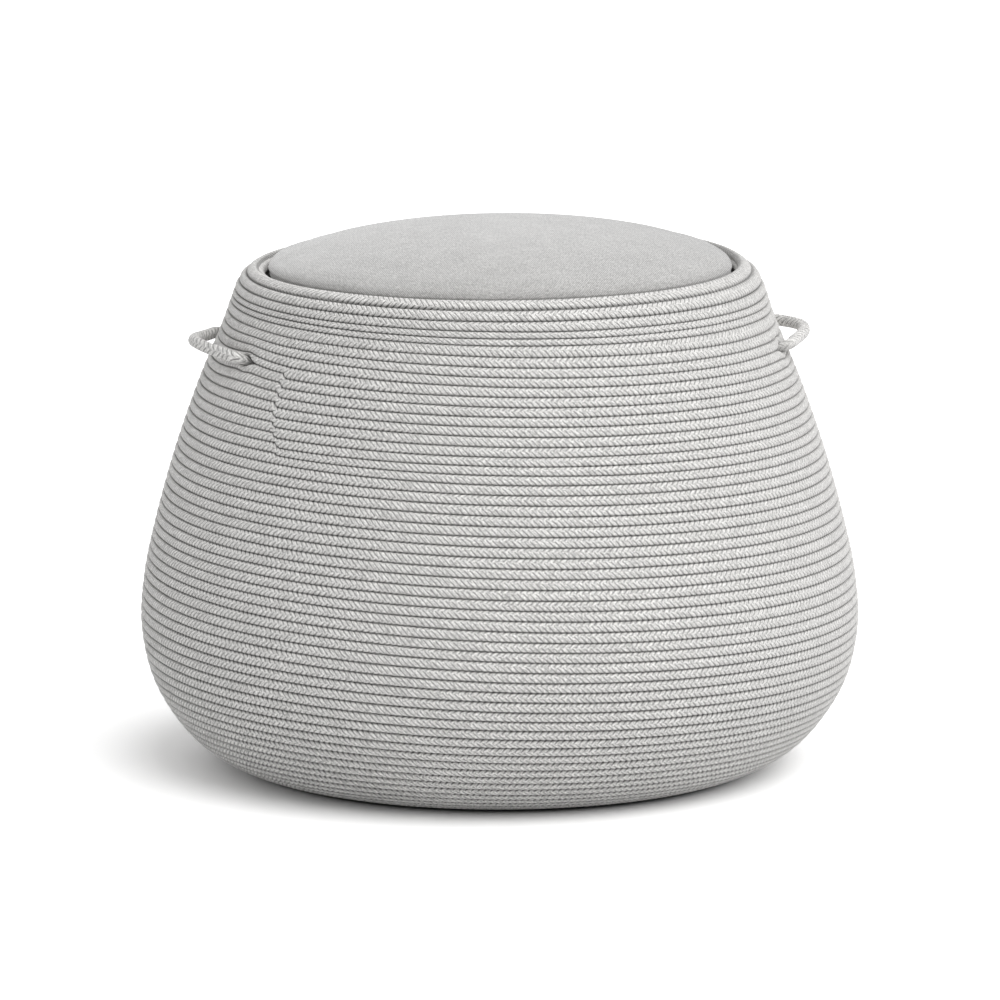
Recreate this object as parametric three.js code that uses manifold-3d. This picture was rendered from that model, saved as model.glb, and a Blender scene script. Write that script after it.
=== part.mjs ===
// A round outdoor footstool: a rope-wound, pear-shaped wall on a bent metal frame, with a crowned
// cushion that lifts out of its recess and a rope loop handle on each side.
// Millimetres. +Z is up, the origin lies on the floor under the middle, the handles are on +X and -X.
import * as THREE from 'three';
import { mergeVertices } from 'three/addons/utils/BufferGeometryUtils.js';
import Module from 'manifold-3d';

const wasm = await Module();
wasm.setup();

// Driving dimensions of the whole footstool.
const bellyDiameter = 600;
const wallHeight = 417.7;
const floorClearance = 3;
const fitGap = 0.3;
const mergeGap = 0.0003;

// Rope of the wall: one turn's pitch along the wall, its depth through the wall and the gap between turns.
const ropePitch = 8.2;
const ropeDepth = 8.2;
const ropeGap = 0.6;
const windingTurns = 24;
const stepsPerTurn = 24;
const jogSteps = 2;
const ropeStartGapSteps = 0.25;
const ropeStartHeight = 0.4;
const lowestSelfGap = 0.4;
const ropeCornerShares = [[0, 1], [-1, 0.5], [-1, -0.5], [0, -1], [1, -0.5], [1, 0.5]];
const windingFirstStep = 16;

// Middle of the rope layer, from the lip down to the inner edge underneath. Each pair is a share of
// the layer's widest radius and a share of its rise.
const wallShares = [
  [0.686, 1], [0.71, 0.9878], [0.7268, 0.9688], [0.7634, 0.8945], [0.8371, 0.7651], [0.9, 0.6357],
  [0.9513, 0.5065], [0.9905, 0.3778], [1, 0.2757], [0.9716, 0.1746], [0.9138, 0.0996],
  [0.852, 0.0496], [0.7898, 0.0195], [0.7165, 0.0005], [0.6624, 0],
];
const lowerWallFacets = 48;
const lowerWallRows = 9;

// Frame of bent flat bar and round tube.
const ribCount = 8;
const ribWidth = 20;
const ribThickness = 5;
const ribUpperBends = 6;
const tubeDiameter = 12;
const rimBarDiameter = 8;
const rimBarDrop = 14.4;
const bellyRingRow = 4;
const baseRingInset = 13.6;
const ringSides = 8;

// Bottom panel, glides and their screws.
const basePanelThickness = 4;
const basePanelInset = 0.6;
const glideCount = 6;
const glideDiameter = 24;
const screwDiameter = 4;
const screwHeadDiameter = 8;
const screwHeadHeight = 1.6;
const screwGrip = 3.5;
const screwRecess = 0.8;
const roundFacets = 10;
const glideFacets = 16;

// Seat deck under the cushion, with its screws, drain holes and grip pads.
const deckThickness = 5;
const deckEdgeGap = 3;
const deckScrewCount = 4;
const drainHoleDiameter = 14;
const drainCircleRadius = 105;
const drainHoleCount = 6;
const padCount = 4;
const padDiameter = 40;
const padFacets = 12;
const padThickness = 1.5;
const padCircleInset = 54;

// Cushion: its gap to the middle of the lip's rope, height over the lip, overall thickness, crown over
// the shoulder, and its sides.
const cushionEdgeGap = 9;
const crownOverLip = 34.3;
const cushionThickness = 70;
const cushionCrown = 25;
const cushionShoulder = 13;
const cushionShoulderReach = 9;
const cushionSideDraw = 2.5;
const coverThickness = 1.5;
const seamGap = 0.3;
const crownPower = 2.6;
const cushionFacets = 36;
const foamFacets = 18;
const crownStations = 5;
const shoulderStations = 3;
const sideStations = 3;
const zipHeight = 12;
const zipThickness = 1.2;
const zipSpanTurnShare = 0.3;

// Rope handles: their half angle, reach and rise, and where their ends pass through the wall.
const handleDiameter = 9.4;
const handleHalfTurnShare = 18.5 / 360;
const handleTurn = 8.5;
const handleReach = 16.6;
const handleRise = 3;
const handleSides = 8;
const handleSteps = 20;
const handleShares = [[1, 0], [0.78, 0.24], [0.5, 0.57], [0.25, 0.86], [0, 1]];
const tailHeight = 6.6;
const knotDiameter = 17;
const knotLength = 14;

// Values worked out from the sizes above.
const fullTurn = Math.PI * 2;
const ropeHalfDepth = ropeDepth / 2;
const ropeHalfHeight = (ropePitch - ropeGap) / 2;
const ropeBellyRadius = bellyDiameter / 2 - ropeHalfDepth;
const ropeBaseHeight = floorClearance + ropeHalfDepth;
const ropeRise = wallHeight - ropeDepth;
const lipHeight = floorClearance + wallHeight;
const facetShare = Math.cos(Math.PI / stepsPerTurn);
const tubeRadius = tubeDiameter / 2;
const rimBarRadius = rimBarDiameter / 2;
const handleRadius = handleDiameter / 2;

const ropeLook = new THREE.MeshStandardMaterial({ color: 0xcfcecb, roughness: 0.9, metalness: 0 });
const fabricLook = new THREE.MeshStandardMaterial({ color: 0xb9b8b6, roughness: 0.95, metalness: 0 });
const foamLook = new THREE.MeshStandardMaterial({ color: 0xe8e2cf, roughness: 1, metalness: 0 });
const frameLook = new THREE.MeshStandardMaterial({ color: 0x8f9192, roughness: 0.5, metalness: 0.4 });
const panelLook = new THREE.MeshStandardMaterial({ color: 0x6f7173, roughness: 0.7, metalness: 0 });
const glideLook = new THREE.MeshStandardMaterial({ color: 0x2b2b2c, roughness: 0.6, metalness: 0 });
const screwLook = new THREE.MeshStandardMaterial({ color: 0xb8babc, roughness: 0.35, metalness: 0.9 });
const gripLook = new THREE.MeshStandardMaterial({ color: 0x4a4a4b, roughness: 1, metalness: 0 });

const footstool = new THREE.Group();

// Solids

// Keeps positions only, merges shared corners, drops empty triangles and turns the faces outwards.
function closedGeometry(geometry) {
  geometry.deleteAttribute('normal');
  geometry.deleteAttribute('uv');
  const merged = mergeVertices(geometry, mergeGap);
  const corners = merged.index.array;
  const kept = [];
  for (let i = 0; i < corners.length; i += 3) {
    const [a, b, c] = [corners[i], corners[i + 1], corners[i + 2]];
    if (a !== b && b !== c && c !== a) kept.push(a, b, c);
  }
  if (signedVolume(merged.attributes.position, kept) < 0) kept.reverse();
  merged.setIndex(kept);
  merged.computeVertexNormals();
  return merged;
}

function signedVolume(position, corners) {
  const a = new THREE.Vector3();
  const b = new THREE.Vector3();
  const c = new THREE.Vector3();
  let volume = 0;
  for (let i = 0; i < corners.length; i += 3) {
    a.fromBufferAttribute(position, corners[i]);
    b.fromBufferAttribute(position, corners[i + 1]);
    c.fromBufferAttribute(position, corners[i + 2]);
    volume += a.dot(b.cross(c)) / 6;
  }
  return volume;
}

function toManifold(geometry) {
  const closed = closedGeometry(geometry.clone());
  closed.deleteAttribute('normal');
  const vertProperties = new Float32Array(closed.attributes.position.array);
  const triVerts = new Uint32Array(closed.index.array);
  return new wasm.Manifold(new wasm.Mesh({ numProp: 3, vertProperties, triVerts }));
}

function fromManifold(manifold) {
  const mesh = manifold.getMesh();
  const geometry = new THREE.BufferGeometry();
  geometry.setAttribute('position', new THREE.Float32BufferAttribute(mesh.vertProperties, 3));
  geometry.setIndex(Array.from(mesh.triVerts));
  geometry.computeVertexNormals();
  return geometry;
}

function join(first, ...others) {
  return fromManifold(others.reduce((sum, other) => sum.add(toManifold(other)), toManifold(first)));
}

function cut(first, ...tools) {
  return fromManifold(tools.reduce((rest, tool) => rest.subtract(toManifold(tool)), toManifold(first)));
}

function addPiece(name, geometry, look) {
  const mesh = new THREE.Mesh(geometry, look);
  mesh.name = name;
  footstool.add(mesh);
  return mesh;
}

// Turns an outline of [radius, height] pairs, which starts and ends on the upright axis, about it.
function turnedOnAxis(outline, facets) {
  const points = outline.map(([radius, height]) => new THREE.Vector2(radius, height));
  return closedGeometry(new THREE.LatheGeometry(points, facets).rotateX(Math.PI / 2));
}

// The same for an outline that stays off the axis and closes on itself.
function turnedRing(outline, facets) {
  return turnedOnAxis([...outline, outline[0]], facets);
}

// A disc or a round bar that stands on its own lower face.
function upright(radius, low, high, facets = roundFacets) {
  const body = new THREE.CylinderGeometry(radius, radius, high - low, facets);
  return body.rotateX(Math.PI / 2).translate(0, 0, (low + high) / 2);
}

function extruded(shape, depth, curveSegments = ringSides) {
  return new THREE.ExtrudeGeometry(shape, { depth, curveSegments, bevelEnabled: false, steps: 1 });
}

function tubeRing(centreRadius, height, radius) {
  const ring = new THREE.TorusGeometry(centreRadius, radius, ringSides, stepsPerTurn);
  return closedGeometry(ring.translate(0, 0, height));
}

// Places count copies evenly about the upright axis and calls make with each one's azimuth.
function aroundAxis(count, firstAzimuth, make) {
  for (let i = 0; i < count; i += 1) make(i + 1, firstAzimuth + (fullTurn * i) / count);
}

function polar(radius, azimuth, height) {
  return new THREE.Vector3(radius * Math.cos(azimuth), radius * Math.sin(azimuth), height);
}

// The wall's shape

const wallCurve = new THREE.CatmullRomCurve3(
  wallShares.map(([out, up]) => new THREE.Vector3(out * ropeBellyRadius, ropeBaseHeight + up * ropeRise, 0)),
  false,
  'centripetal',
);
wallCurve.arcLengthDivisions = 600;
const wallLength = wallCurve.getLength();

// The rope layer's middle at a distance along the wall from the lip, with its outward normal and the
// direction down the wall. Past either end it runs on straight.
function wallAt(distance) {
  const share = Math.min(Math.max(distance / wallLength, 0), 1);
  const down = wallCurve.getTangentAt(share);
  const point = wallCurve.getPointAt(share).addScaledVector(down, distance - share * wallLength);
  return { point, down, out: new THREE.Vector3(-down.y, down.x, 0) };
}

// A point that lies depth inside the middle of the rope layer, as [radius, height].
function insideWall(distance, depth) {
  const { point, out } = wallAt(distance);
  return [point.x - out.x * depth, point.y - out.y * depth];
}

// The distance between low and high at which a falling measure reaches a target.
function distanceWhere(measure, target, low, high) {
  let near = low;
  let far = high;
  for (let i = 0; i < 50; i += 1) {
    const middle = (near + far) / 2;
    if (measure(middle) > target) near = middle;
    else far = middle;
  }
  return (near + far) / 2;
}

function radiusInside(depth, height) {
  const distance = distanceWhere((d) => insideWall(d, depth)[1], height, 0, wallLength);
  return insideWall(distance, depth)[0];
}

const bellyDistance = distanceWhere((d) => wallAt(d).down.x, 0, 0, wallLength);
const cushionRadius = wallCurve.getPointAt(0).x - cushionEdgeGap;
const basePanelRadius = wallCurve.getPointAt(1).x - ropeHalfHeight - basePanelInset;
const baseRingRadius = basePanelRadius - baseRingInset;

// The rope winding

// How far the winding has stepped down at a count of steps: level turns, each with one jog to the next.
function windingDistance(step) {
  const turn = Math.floor(step / stepsPerTurn);
  const jog = (step - turn * stepsPerTurn - (stepsPerTurn - jogSteps)) / jogSteps;
  return ropePitch * (turn + Math.max(jog, 0));
}

function windingAzimuth(step) {
  return (fullTurn * (windingFirstStep + step)) / stepsPerTurn;
}

// The six corners of the rope's squashed section between two distances along the wall.
function ropeSection(from, to) {
  const { point, down, out } = wallAt((from + to) / 2);
  const half = (to - from) / 2;
  return ropeCornerShares.map(([outShare, downShare]) => [
    point.x + out.x * outShare * ropeHalfDepth + down.x * downShare * half,
    point.y + out.y * outShare * ropeHalfDepth + down.y * downShare * half,
  ]);
}

// Stations of the winding, each with its azimuth and section. The rope starts as a taper over the
// first jog, so that the lip stays level, and ends square after its last level turn.
function windingStations() {
  const stations = [];
  const taperSteps = [ropeStartGapSteps, ...Array.from({ length: jogSteps - 1 }, (_, i) => i + 1)];
  for (const step of taperSteps) {
    const height = Math.max((ropePitch * step) / jogSteps - ropeGap, ropeStartHeight);
    stations.push({ step: step - jogSteps, section: ropeSection(-ropeHalfHeight, height - ropeHalfHeight) });
  }
  for (let step = 0; step <= windingTurns * stepsPerTurn - jogSteps; step += 1) {
    const middle = windingDistance(step);
    stations.push({ step, section: ropeSection(middle - ropeHalfHeight, middle + ropeHalfHeight) });
  }
  return stations;
}

function windingGeometry(stations) {
  const positions = [];
  const corners = [];
  const sides = stations[0].section.length;
  for (const { step, section } of stations) {
    const azimuth = windingAzimuth(step);
    for (const [radius, height] of section) positions.push(...polar(radius, azimuth, height).toArray());
  }
  const last = (stations.length - 1) * sides;
  for (let row = 0; row < last; row += sides) {
    for (let side = 0; side < sides; side += 1) {
      const next = (side + 1) % sides;
      corners.push(row + side, row + next, row + sides + side);
      corners.push(row + next, row + sides + next, row + sides + side);
    }
  }
  for (let side = 1; side < sides - 1; side += 1) {
    corners.push(0, side + 1, side);
    corners.push(last, last + side, last + side + 1);
  }
  const geometry = new THREE.BufferGeometry();
  geometry.setAttribute('position', new THREE.Float32BufferAttribute(positions, 3));
  geometry.setIndex(corners);
  return closedGeometry(geometry);
}

function pointToEdge(point, start, end) {
  const [along, across] = [end[0] - start[0], end[1] - start[1]];
  const share = ((point[0] - start[0]) * along + (point[1] - start[1]) * across) / (along ** 2 + across ** 2);
  const kept = Math.min(Math.max(share, 0), 1);
  return Math.hypot(point[0] - start[0] - kept * along, point[1] - start[1] - kept * across);
}

function sectionGap(first, second) {
  let least = Infinity;
  for (const [points, edges] of [[first, second], [second, first]]) {
    for (const point of points) {
      edges.forEach((start, i) => {
        least = Math.min(least, pointToEdge(point, start, edges[(i + 1) % edges.length]));
      });
    }
  }
  return least;
}

// The least gap between a station and the one a turn later, which lies beside it.
function leastSelfGap(stations) {
  const byStep = new Map(stations.map((station) => [station.step, station.section]));
  let least = Infinity;
  for (const [step, section] of byStep) {
    const beside = byStep.get(step + stepsPerTurn);
    if (beside) least = Math.min(least, sectionGap(section, beside));
  }
  return least;
}

// The four places where a handle's rope passes between two turns of the wall.
const handleExit = wallAt(handleTurn * ropePitch);
const pivotOutset = ropeHalfDepth + fitGap + handleRadius;
const facetSag = handleExit.point.x * (1 - facetShare);
const knotFrom = pivotOutset + ropeHalfDepth + facetSag + fitGap;
const wayInward = new THREE.Vector3(-handleExit.out.x, 0, -handleExit.out.y);
const pivotRadius = handleExit.point.x + handleExit.out.x * pivotOutset;
const pivotHeight = handleExit.point.y + handleExit.out.y * pivotOutset;
const handleHalfAngle = fullTurn * handleHalfTurnShare;

function ovalShape(halfWidth, halfHeight) {
  const oval = new THREE.Shape();
  oval.absellipse(0, 0, halfWidth, halfHeight, 0, fullTurn, false, 0);
  return oval;
}

// A bar of oval section along the handle's way through the wall, between two distances inside its pivot.
function exitBar(halfWidth, halfHeight, near, far) {
  const bar = extruded(ovalShape(halfWidth, halfHeight), far - near, handleSides / 2);
  const across = new THREE.Vector3(0, 1, 0);
  const upwards = new THREE.Vector3().crossVectors(wayInward, across);
  const turn = new THREE.Matrix4().makeBasis(across, upwards, wayInward);
  return bar.translate(0, 0, near).applyMatrix4(turn).translate(pivotRadius, 0, pivotHeight);
}

const exitAzimuths = [
  ['left_front', Math.PI + handleHalfAngle], ['left_rear', Math.PI - handleHalfAngle],
  ['right_front', -handleHalfAngle], ['right_rear', handleHalfAngle],
];

function addWinding() {
  const stations = windingStations();
  const least = leastSelfGap(stations);
  console.log(`rope_winding: least gap to itself ${least.toFixed(2)} mm`);
  if (least <= lowestSelfGap) console.log(`rope_winding: the gap should be over ${lowestSelfGap} mm`);
  const slots = exitAzimuths.map(([, azimuth]) => exitBar(
    handleRadius + fitGap, tailHeight / 2 + fitGap, handleRadius - fitGap, knotFrom,
  ).rotateZ(azimuth));
  addPiece('rope_winding', cut(windingGeometry(stations), ...slots), ropeLook);
}

function evenly(from, to, steps) {
  return Array.from({ length: steps + 1 }, (_, i) => from + ((to - from) * i) / steps);
}

// Distances along the wall of the lower wall's level rows of corners.
const levelTop = (windingTurns - 1) * ropePitch + ropeHalfHeight + ropeGap;
const lowerRows = evenly(levelTop, wallLength, lowerWallRows);

// The plain lower wall. Its top edge follows the winding: it rises under the last jog and then runs
// level, with a small step that faces the rope's end.
function addLowerWall() {
  const jogShare = jogSteps / stepsPerTurn;
  const ropeEndAngle = (fitGap * 2) / wallAt(levelTop).point.x;
  const firstAzimuth = windingAzimuth(-jogSteps) + ropeEndAngle;
  const positions = [];
  const columns = lowerWallFacets + 1;
  const stations = lowerRows.length + 1;
  for (let column = 0; column < columns; column += 1) {
    const share = column / lowerWallFacets;
    const azimuth = firstAzimuth + fullTurn * share;
    const top = levelTop - ropePitch * Math.max(1 - share / jogShare, 0);
    for (const depth of [-ropeHalfDepth, ropeHalfDepth]) {
      for (const distance of [top, ...lowerRows]) {
        const [radius, height] = insideWall(distance, depth);
        positions.push(...polar(radius, azimuth, height).toArray());
      }
    }
  }
  const corners = [];
  const quad = (a, b, c, d) => corners.push(a, b, c, a, c, d);
  const at = (column, side, station) => (column * 2 + side) * stations + station;
  for (let column = 0; column < lowerWallFacets; column += 1) {
    for (let station = 0; station < stations - 1; station += 1) {
      const lower = station + 1;
      const next = column + 1;
      quad(at(column, 0, station), at(column, 0, lower), at(next, 0, lower), at(next, 0, station));
      quad(at(column, 1, station), at(next, 1, station), at(next, 1, lower), at(column, 1, lower));
    }
    const low = stations - 1;
    quad(at(column, 0, 0), at(column + 1, 0, 0), at(column + 1, 1, 0), at(column, 1, 0));
    quad(at(column, 0, low), at(column, 1, low), at(column + 1, 1, low), at(column + 1, 0, low));
  }
  quad(at(0, 0, 0), at(0, 1, 0), at(0, 1, 1), at(0, 0, 1));
  const geometry = new THREE.BufferGeometry();
  geometry.setAttribute('position', new THREE.Float32BufferAttribute(positions, 3));
  geometry.setIndex(corners);
  addPiece('rope_wall_lower', closedGeometry(geometry), ropeLook);
}

// The frame

const ribOuterDepth = ropeHalfDepth + fitGap;
const ribInnerDepth = ribOuterDepth + ribThickness;
const ringDepth = ribInnerDepth + fitGap + tubeRadius;
const rimBarHeight = lipHeight - ropeHalfDepth - rimBarDrop;
const rimBarCentre = radiusInside(ropeHalfDepth + fitGap + rimBarRadius, rimBarHeight);
const ribTop = rimBarHeight - rimBarRadius - fitGap;
const ribMiddleAzimuth = Math.PI / stepsPerTurn;

// Distances along the wall of a rib's bends, from under the rim bar to the base ring. Below the
// winding they are those of the lower wall's rows, so that the two lie flat against each other.
function ribBends() {
  const from = distanceWhere((d) => insideWall(d, ribOuterDepth)[1], ribTop, 0, wallLength);
  const endRadius = (baseRingRadius * facetShare + tubeRadius + fitGap) / facetShare;
  const to = distanceWhere((d) => insideWall(d, ribOuterDepth)[0], endRadius, bellyDistance, wallLength * 2);
  return [...evenly(from, levelTop, ribUpperBends).slice(0, -1), ...lowerRows, to];
}

// One rib: a flat bar bent to the wall's inner face, set where the winding's facets lie flat.
function ribGeometry() {
  const outer = ribBends().map((d) => insideWall(d, ribOuterDepth));
  const inner = ribBends().map((d) => insideWall(d, ribInnerDepth)).reverse();
  const outline = [...outer, ...inner].map(([radius, height]) => (
    new THREE.Vector2(radius * facetShare, height)
  ));
  const bar = extruded(new THREE.Shape(outline), ribWidth);
  return closedGeometry(bar.rotateX(Math.PI / 2).translate(0, ribWidth / 2, 0));
}

function addFrame() {
  const rib = ribGeometry();
  aroundAxis(ribCount, ribMiddleAzimuth, (number, azimuth) => {
    addPiece(`frame_rib_${number}`, rib.clone().rotateZ(azimuth), frameLook);
  });
  addPiece('rim_bar', tubeRing(rimBarCentre, rimBarHeight, rimBarRadius), frameLook);
  const [bellyRingRadius, bellyRingHeight] = insideWall(lowerRows[bellyRingRow], ringDepth);
  addPiece('belly_ring', tubeRing(bellyRingRadius, bellyRingHeight, tubeRadius), frameLook);
  const seatRing = tubeRing(seatRingRadius, seatRingHeight, tubeRadius);
  const seatHoleLow = deckLow - screwGrip - fitGap;
  const seatHoles = holesAround(deckScrewCount, seatRingRadius, screwDiameter / 2, seatHoleLow, deckLow);
  addPiece('seat_ring', cut(seatRing, ...seatHoles), frameLook);
  const baseRing = tubeRing(baseRingRadius, baseRingHeight, tubeRadius);
  const baseHoleHigh = basePanelHigh + screwGrip + fitGap;
  const baseHoles = holesAround(glideCount, baseRingRadius, screwDiameter / 2, basePanelHigh, baseHoleHigh);
  addPiece('base_ring', cut(baseRing, ...baseHoles), frameLook);
}

// Upright hole tools, with a clearance round the screw that passes through.
function holesAround(count, circleRadius, radius, low, high) {
  const tools = [];
  aroundAxis(count, 0, (number, azimuth) => {
    const centre = polar(circleRadius, azimuth, 0);
    tools.push(upright(radius + fitGap, low, high).translate(centre.x, centre.y, 0));
  });
  return tools;
}

// The bottom

const baseRingHeight = ropeBaseHeight + ropeHalfDepth + fitGap + ribThickness / 2;
const basePanelHigh = baseRingHeight - tubeRadius - fitGap;
const basePanelLow = basePanelHigh - basePanelThickness;
const glideHeight = basePanelLow - fitGap;

function screwGeometry(headHigh, tip) {
  const upwards = Math.sign(tip - headHigh);
  const headFar = headHigh + upwards * screwHeadHeight;
  const [headLow, headTop] = [Math.min(headHigh, headFar), Math.max(headHigh, headFar)];
  const headMiddle = (headLow + headTop) / 2;
  const [shankLow, shankTop] = [Math.min(headMiddle, tip), Math.max(headMiddle, tip)];
  const head = upright(screwHeadDiameter / 2, headLow, headTop);
  return join(head, upright(screwDiameter / 2, shankLow, shankTop));
}

function addBottom() {
  const panel = upright(basePanelRadius, basePanelLow, basePanelHigh, lowerWallFacets);
  const overrun = basePanelThickness;
  const [holeLow, holeHigh] = [basePanelLow - overrun, basePanelHigh + overrun];
  const holes = holesAround(glideCount, baseRingRadius, screwDiameter / 2, holeLow, holeHigh);
  addPiece('base_panel', cut(panel, ...holes), panelLook);
  const glide = cut(
    upright(glideDiameter / 2, 0, glideHeight, glideFacets),
    upright(screwHeadDiameter / 2 + fitGap, -overrun, screwRecess + screwHeadHeight + fitGap),
    upright(screwDiameter / 2 + fitGap, 0, glideHeight + overrun),
  );
  const screw = screwGeometry(screwRecess, basePanelHigh + screwGrip);
  aroundAxis(glideCount, 0, (number, azimuth) => {
    const centre = polar(baseRingRadius, azimuth, 0);
    addPiece(`glide_${number}`, glide.clone().translate(centre.x, centre.y, 0), glideLook);
    addPiece(`glide_screw_${number}`, screw.clone().translate(centre.x, centre.y, 0), screwLook);
  });
}

// The seat deck

const cushionHigh = lipHeight + crownOverLip;
const cushionLow = cushionHigh - cushionThickness;
const deckHigh = cushionLow - padThickness * 2 - fitGap * 3;
const deckLow = deckHigh - deckThickness;
const seatRingHeight = deckLow - fitGap - tubeRadius;
const seatRingRadius = radiusInside(ringDepth, seatRingHeight);
const deckRadius = radiusInside(ribInnerDepth, deckHigh) * facetShare - deckEdgeGap;

function addDeck() {
  const overrun = deckThickness;
  const [holeLow, holeHigh] = [deckLow - overrun, deckHigh + overrun];
  const drains = holesAround(drainHoleCount, drainCircleRadius, drainHoleDiameter / 2, holeLow, holeHigh);
  const shanks = holesAround(deckScrewCount, seatRingRadius, screwDiameter / 2, holeLow, holeHigh);
  const heads = holesAround(
    deckScrewCount, seatRingRadius, screwHeadDiameter / 2,
    deckHigh - screwRecess - screwHeadHeight - fitGap, deckHigh + overrun,
  );
  const plate = upright(deckRadius, deckLow, deckHigh, lowerWallFacets);
  addPiece('seat_deck', cut(plate, ...drains, ...shanks, ...heads), panelLook);
  const screw = screwGeometry(deckHigh - screwRecess, deckLow - screwGrip);
  aroundAxis(deckScrewCount, 0, (number, azimuth) => {
    const centre = polar(seatRingRadius, azimuth, 0);
    addPiece(`deck_screw_${number}`, screw.clone().translate(centre.x, centre.y, 0), screwLook);
  });
  aroundAxis(padCount, Math.PI / padCount, (number, azimuth) => {
    const centre = polar(cushionRadius - padCircleInset, azimuth, 0);
    const deckPadLow = deckHigh + fitGap;
    const cushionPadLow = deckPadLow + padThickness + fitGap;
    const deckPad = upright(padDiameter / 2, deckPadLow, deckPadLow + padThickness, padFacets);
    const cushionPad = upright(padDiameter / 2, cushionPadLow, cushionPadLow + padThickness, padFacets);
    addPiece(`deck_pad_${number}`, closedGeometry(deckPad.translate(centre.x, centre.y, 0)), gripLook);
    addPiece(`cushion_pad_${number}`, closedGeometry(cushionPad.translate(centre.x, centre.y, 0)), gripLook);
  });
}

// The cushion

const shoulderRadius = cushionRadius - cushionShoulderReach;
const shoulderHeight = cushionHigh - cushionCrown;
const topSeamHeight = shoulderHeight - cushionShoulder;
const bottomSeamHeight = cushionLow + coverThickness + seamGap;

// The crowned top from the middle to its seam at the side, moved in by an inset.
function crownOutline(inset) {
  const points = [];
  for (let i = 0; i <= crownStations; i += 1) {
    const share = i / crownStations;
    points.push([share * (shoulderRadius - inset), cushionHigh - inset - cushionCrown * share ** crownPower]);
  }
  for (let i = 1; i <= shoulderStations; i += 1) {
    const angle = (Math.PI / 2) * (i / shoulderStations);
    points.push([
      shoulderRadius - inset + cushionShoulderReach * Math.sin(angle),
      topSeamHeight + (cushionShoulder - inset) * Math.cos(angle),
    ]);
  }
  return points;
}

// The side from the top seam to the bottom one, drawn in between them.
function sideOutline(inset, high, low) {
  return Array.from({ length: sideStations }, (_, i) => {
    const share = i / (sideStations - 1);
    const draw = cushionSideDraw * Math.sin(Math.PI * share);
    return [cushionRadius - inset - draw, high + (low - high) * share];
  });
}

function addCushion() {
  const crown = [...crownOutline(0), ...crownOutline(coverThickness).reverse()];
  addPiece('cushion_top_panel', turnedOnAxis(crown, cushionFacets), fabricLook);
  const bandHigh = topSeamHeight - seamGap;
  const side = sideOutline(0, bandHigh, bottomSeamHeight);
  const sideUnder = sideOutline(coverThickness, bandHigh, bottomSeamHeight).reverse();
  addPiece('cushion_side_band', turnedRing([...side, ...sideUnder], cushionFacets), fabricLook);
  addPiece('cushion_bottom_panel', closedGeometry(
    upright(cushionRadius, cushionLow, cushionLow + coverThickness, cushionFacets),
  ), fabricLook);
  const foamInset = coverThickness + seamGap;
  const foamLow = cushionLow + coverThickness + seamGap;
  const foamSide = cushionRadius - coverThickness - cushionSideDraw - seamGap * 2;
  const foamOutline = crownOutline(foamInset).filter(([radius]) => radius < foamSide - seamGap);
  const edge = foamOutline.at(-1);
  foamOutline.push([foamSide, Math.min(edge[1], topSeamHeight)], [foamSide, foamLow], [0, foamLow]);
  addPiece('cushion_foam', turnedOnAxis(foamOutline, foamFacets), foamLook);
  addPiece('cushion_zip', zipGeometry(), gripLook);
}

// The zip runs round the rear of the side band, near the bottom seam.
function zipGeometry() {
  const inner = cushionRadius + fitGap;
  const half = (fullTurn * zipSpanTurnShare) / 2;
  const strip = new THREE.Shape();
  strip.absarc(0, 0, inner + zipThickness, Math.PI / 2 - half, Math.PI / 2 + half, false);
  strip.absarc(0, 0, inner, Math.PI / 2 + half, Math.PI / 2 - half, true);
  const band = extruded(strip, zipHeight);
  return closedGeometry(band.translate(0, 0, bottomSeamHeight + zipHeight / 2));
}

// The handles

// The middle line of the loop on +X, from its front pivot to its rear one.
function handlePath() {
  const half = handleShares.map(([angleShare, outShare]) => polar(
    pivotRadius + outShare * handleReach, angleShare * handleHalfAngle, pivotHeight + outShare * handleRise,
  ));
  const front = half.map((point) => new THREE.Vector3(point.x, -point.y, point.z));
  return new THREE.CatmullRomCurve3([...front, ...half.slice(0, -1).reverse()], false, 'centripetal');
}

function handleGeometry() {
  const path = handlePath();
  const section = new THREE.Shape();
  section.absarc(0, 0, handleRadius, 0, fullTurn, false);
  const loop = new THREE.ExtrudeGeometry(section, {
    steps: handleSteps, extrudePath: path, bevelEnabled: false, curveSegments: handleSides / 2,
  });
  const ends = [0, 1].map((share) => {
    const pivot = path.getPoint(share);
    const ball = new THREE.SphereGeometry(handleRadius, handleSides, handleSides / 2);
    return ball.translate(pivot.x, pivot.y, pivot.z);
  });
  return join(loop, ...ends);
}

// The rope's end behind each pivot: it is squeezed between two turns and knotted inside the wall.
function tailGeometry() {
  const near = handleRadius + fitGap;
  const neck = exitBar(handleRadius, tailHeight / 2, near, knotFrom + knotLength / 2);
  const knot = new THREE.SphereGeometry(1, ringSides, ringSides);
  knot.scale(knotDiameter / 2, knotLength / 2, knotDiameter / 2);
  knot.applyQuaternion(new THREE.Quaternion().setFromUnitVectors(new THREE.Vector3(0, 1, 0), wayInward));
  const centre = wayInward.clone().multiplyScalar(knotFrom + knotLength / 2);
  return join(neck, knot.translate(pivotRadius + centre.x, 0, pivotHeight + centre.z));
}

function addHandles() {
  const loop = handleGeometry();
  addPiece('handle_right', loop.clone(), ropeLook);
  addPiece('handle_left', loop.clone().rotateZ(Math.PI), ropeLook);
  const tail = tailGeometry();
  for (const [place, azimuth] of exitAzimuths) {
    addPiece(`handle_tail_${place}`, tail.clone().rotateZ(azimuth), ropeLook);
  }
}

addWinding();
addLowerWall();
addFrame();
addBottom();
addDeck();
addCushion();
addHandles();

export default footstool;
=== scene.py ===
"""Looks of the outdoor ottoman footstool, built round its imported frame.

Lengths are in metres and angles in radians, in the same axes as the frame: +Z up, front at -Y.
"""

import math

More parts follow.
